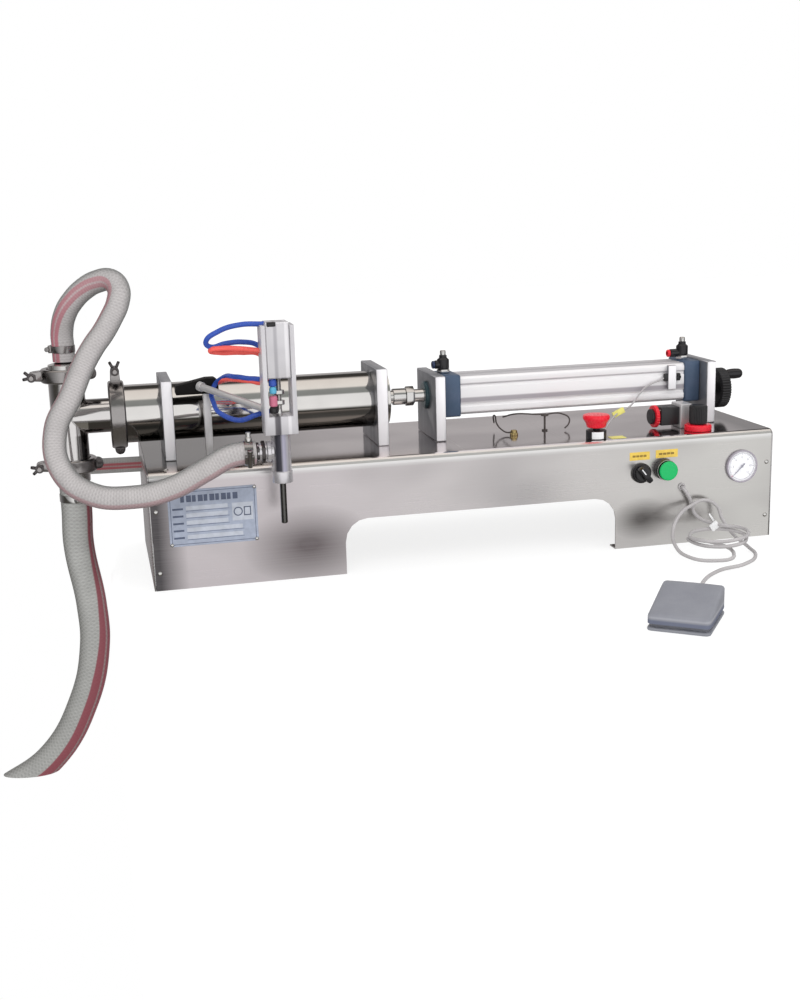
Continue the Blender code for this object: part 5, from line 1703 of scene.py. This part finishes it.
def world():
    """White to the camera; to the metal, a studio of bright and dark bands about the X axis."""
    made = bpy.data.worlds.new("studio")
    made.use_nodes = True
    w = Nodes(made.node_tree)
    x, y, z = w.split(w.add("ShaderNodeTexCoord").outputs["Generated"])
    # 0 is the front horizon, 0.25 overhead, 0.5 the back horizon and 0.75 straight down.
    turn = w.math("DIVIDE", w.math("ARCTAN2", z, w.times(y, -1.0)), math.tau)
    turn = w.math("FRACT", w.math("ADD", turn, 1.0))
    shade = w.times(w.span(x, 0.30, 1.0, -0.95, -0.35), w.span(x, 1.0, 0.35, 0.55, 0.95))
    mirror = w.add("ShaderNodeBackground")
    w.feed(mirror, 0, w.mix(1.0, studio_bands(w, turn), shade, "MULTIPLY"))
    white = w.tree.nodes["Background"]
    w.feed(white, 0, (1.0, 1.0, 1.0, 1.0))
    w.feed(white, 1, 1.0)
    choose = w.add("ShaderNodeMixShader")
    w.feed(choose, 0, w.add("ShaderNodeLightPath").outputs["Is Glossy Ray"])
    w.feed(choose, 1, white.outputs[0])
    w.feed(choose, 2, mirror.outputs[0])
    w.feed(w.tree.nodes["World Output"], 0, choose.outputs[0])
    bpy.context.scene.world = made


def studio_bands(w, turn):
    """Pale and dark bands by the turn about the X axis."""
    bands = w.add("ShaderNodeValToRGB")
    w.feed(bands, 0, turn)
    stops = [
        (0.000, (0.90, 0.90, 0.90)), (0.090, (0.90, 0.90, 0.90)), (0.105, (0.26, 0.27, 0.26)),
        (0.165, (0.30, 0.31, 0.30)), (0.185, (0.92, 0.88, 0.83)), (0.300, (0.86, 0.80, 0.75)),
        (0.335, (0.05, 0.045, 0.04)), (0.395, (0.04, 0.038, 0.036)), (0.430, (0.47, 0.45, 0.45)),
        (0.600, (0.32, 0.31, 0.31)), (0.720, (0.20, 0.19, 0.175)), (0.780, (0.17, 0.16, 0.14)),
        (0.900, (0.16, 0.15, 0.13)), (0.925, (0.12, 0.115, 0.105)), (0.945, (0.92, 0.92, 0.92)),
    ]
    ramp = bands.color_ramp
    while len(ramp.elements) < len(stops):
        ramp.elements.new(0.5)
    for element, (position, colour) in zip(ramp.elements, stops):
        element.position = position
        element.color = (*colour, 1.0)
    return bands.outputs[0]


def area_light(name, at, aim, size, power, glossy=False):
    data = bpy.data.lights.new(name, "AREA")
    data.shape = "RECTANGLE"
    data.size, data.size_y = size
    data.energy = power
    lamp = bpy.data.objects.new(name, data)
    lamp.location = at
    lamp.rotation_mode = "QUATERNION"
    lamp.rotation_quaternion = (Vector(aim) - Vector(at)).to_track_quat("-Z", "Y")
    lamp.visible_glossy = glossy
    bpy.context.scene.collection.objects.link(lamp)


def camera():
    """A short tele view from the front left, a little above the cylinders."""
    data = bpy.data.cameras.new("camera")
    data.lens = 47.48
    data.sensor_width = 36.0
    data.clip_start = 0.05
    data.clip_end = 50.0
    eye = bpy.data.objects.new("camera", data)
    at = (-0.5408, -1.9795, 0.5498 + BENCH)
    yaw = math.radians(12.974)
    pitch = math.radians(13.292)
    roll = math.radians(-1.593)
    forward = Vector((math.sin(yaw) * math.cos(pitch), math.cos(yaw) * math.cos(pitch), -math.sin(pitch)))
    level = forward.cross(Vector((0, 0, 1))).normalized()
    upright = level.cross(forward)
    right = level * math.cos(roll) + upright * math.sin(roll)
    up = upright * math.cos(roll) - level * math.sin(roll)
    axes = Matrix((right, up, -forward)).transposed()
    eye.matrix_world = Matrix.Translation(at) @ axes.to_4x4()
    bpy.context.scene.collection.objects.link(eye)
    bpy.context.scene.camera = eye


base_parts()
nameplate()
plates()
product_side()
air_side()
handwheel_parts()
flow_control("front", NAVY, 0.014, 0.0)
flow_control("rear", RED, 0.022, 0.0035)
tee_parts()
valve_parts()
clamps()
hoses()
hose_clips()
pedal_cord()
air_tubes()
nozzle_parts()
nozzle_fittings()
arm_parts()
stop_button()
regulator()
throttle()
selector()
start_button()
labels()
gauge()
sensor_parts()
pedal_parts()
stage_sheet()
world()
area_light("key", (-0.8, -2.2, 2.0), (0, 0, 0), (2.0, 1.4), 22)
area_light("fill", (1.6, -1.6, 1.4), (0.2, 0, 0), (1.6, 1.2), 10)
camera()
bpy.context.scene.view_settings.view_transform = "Standard"
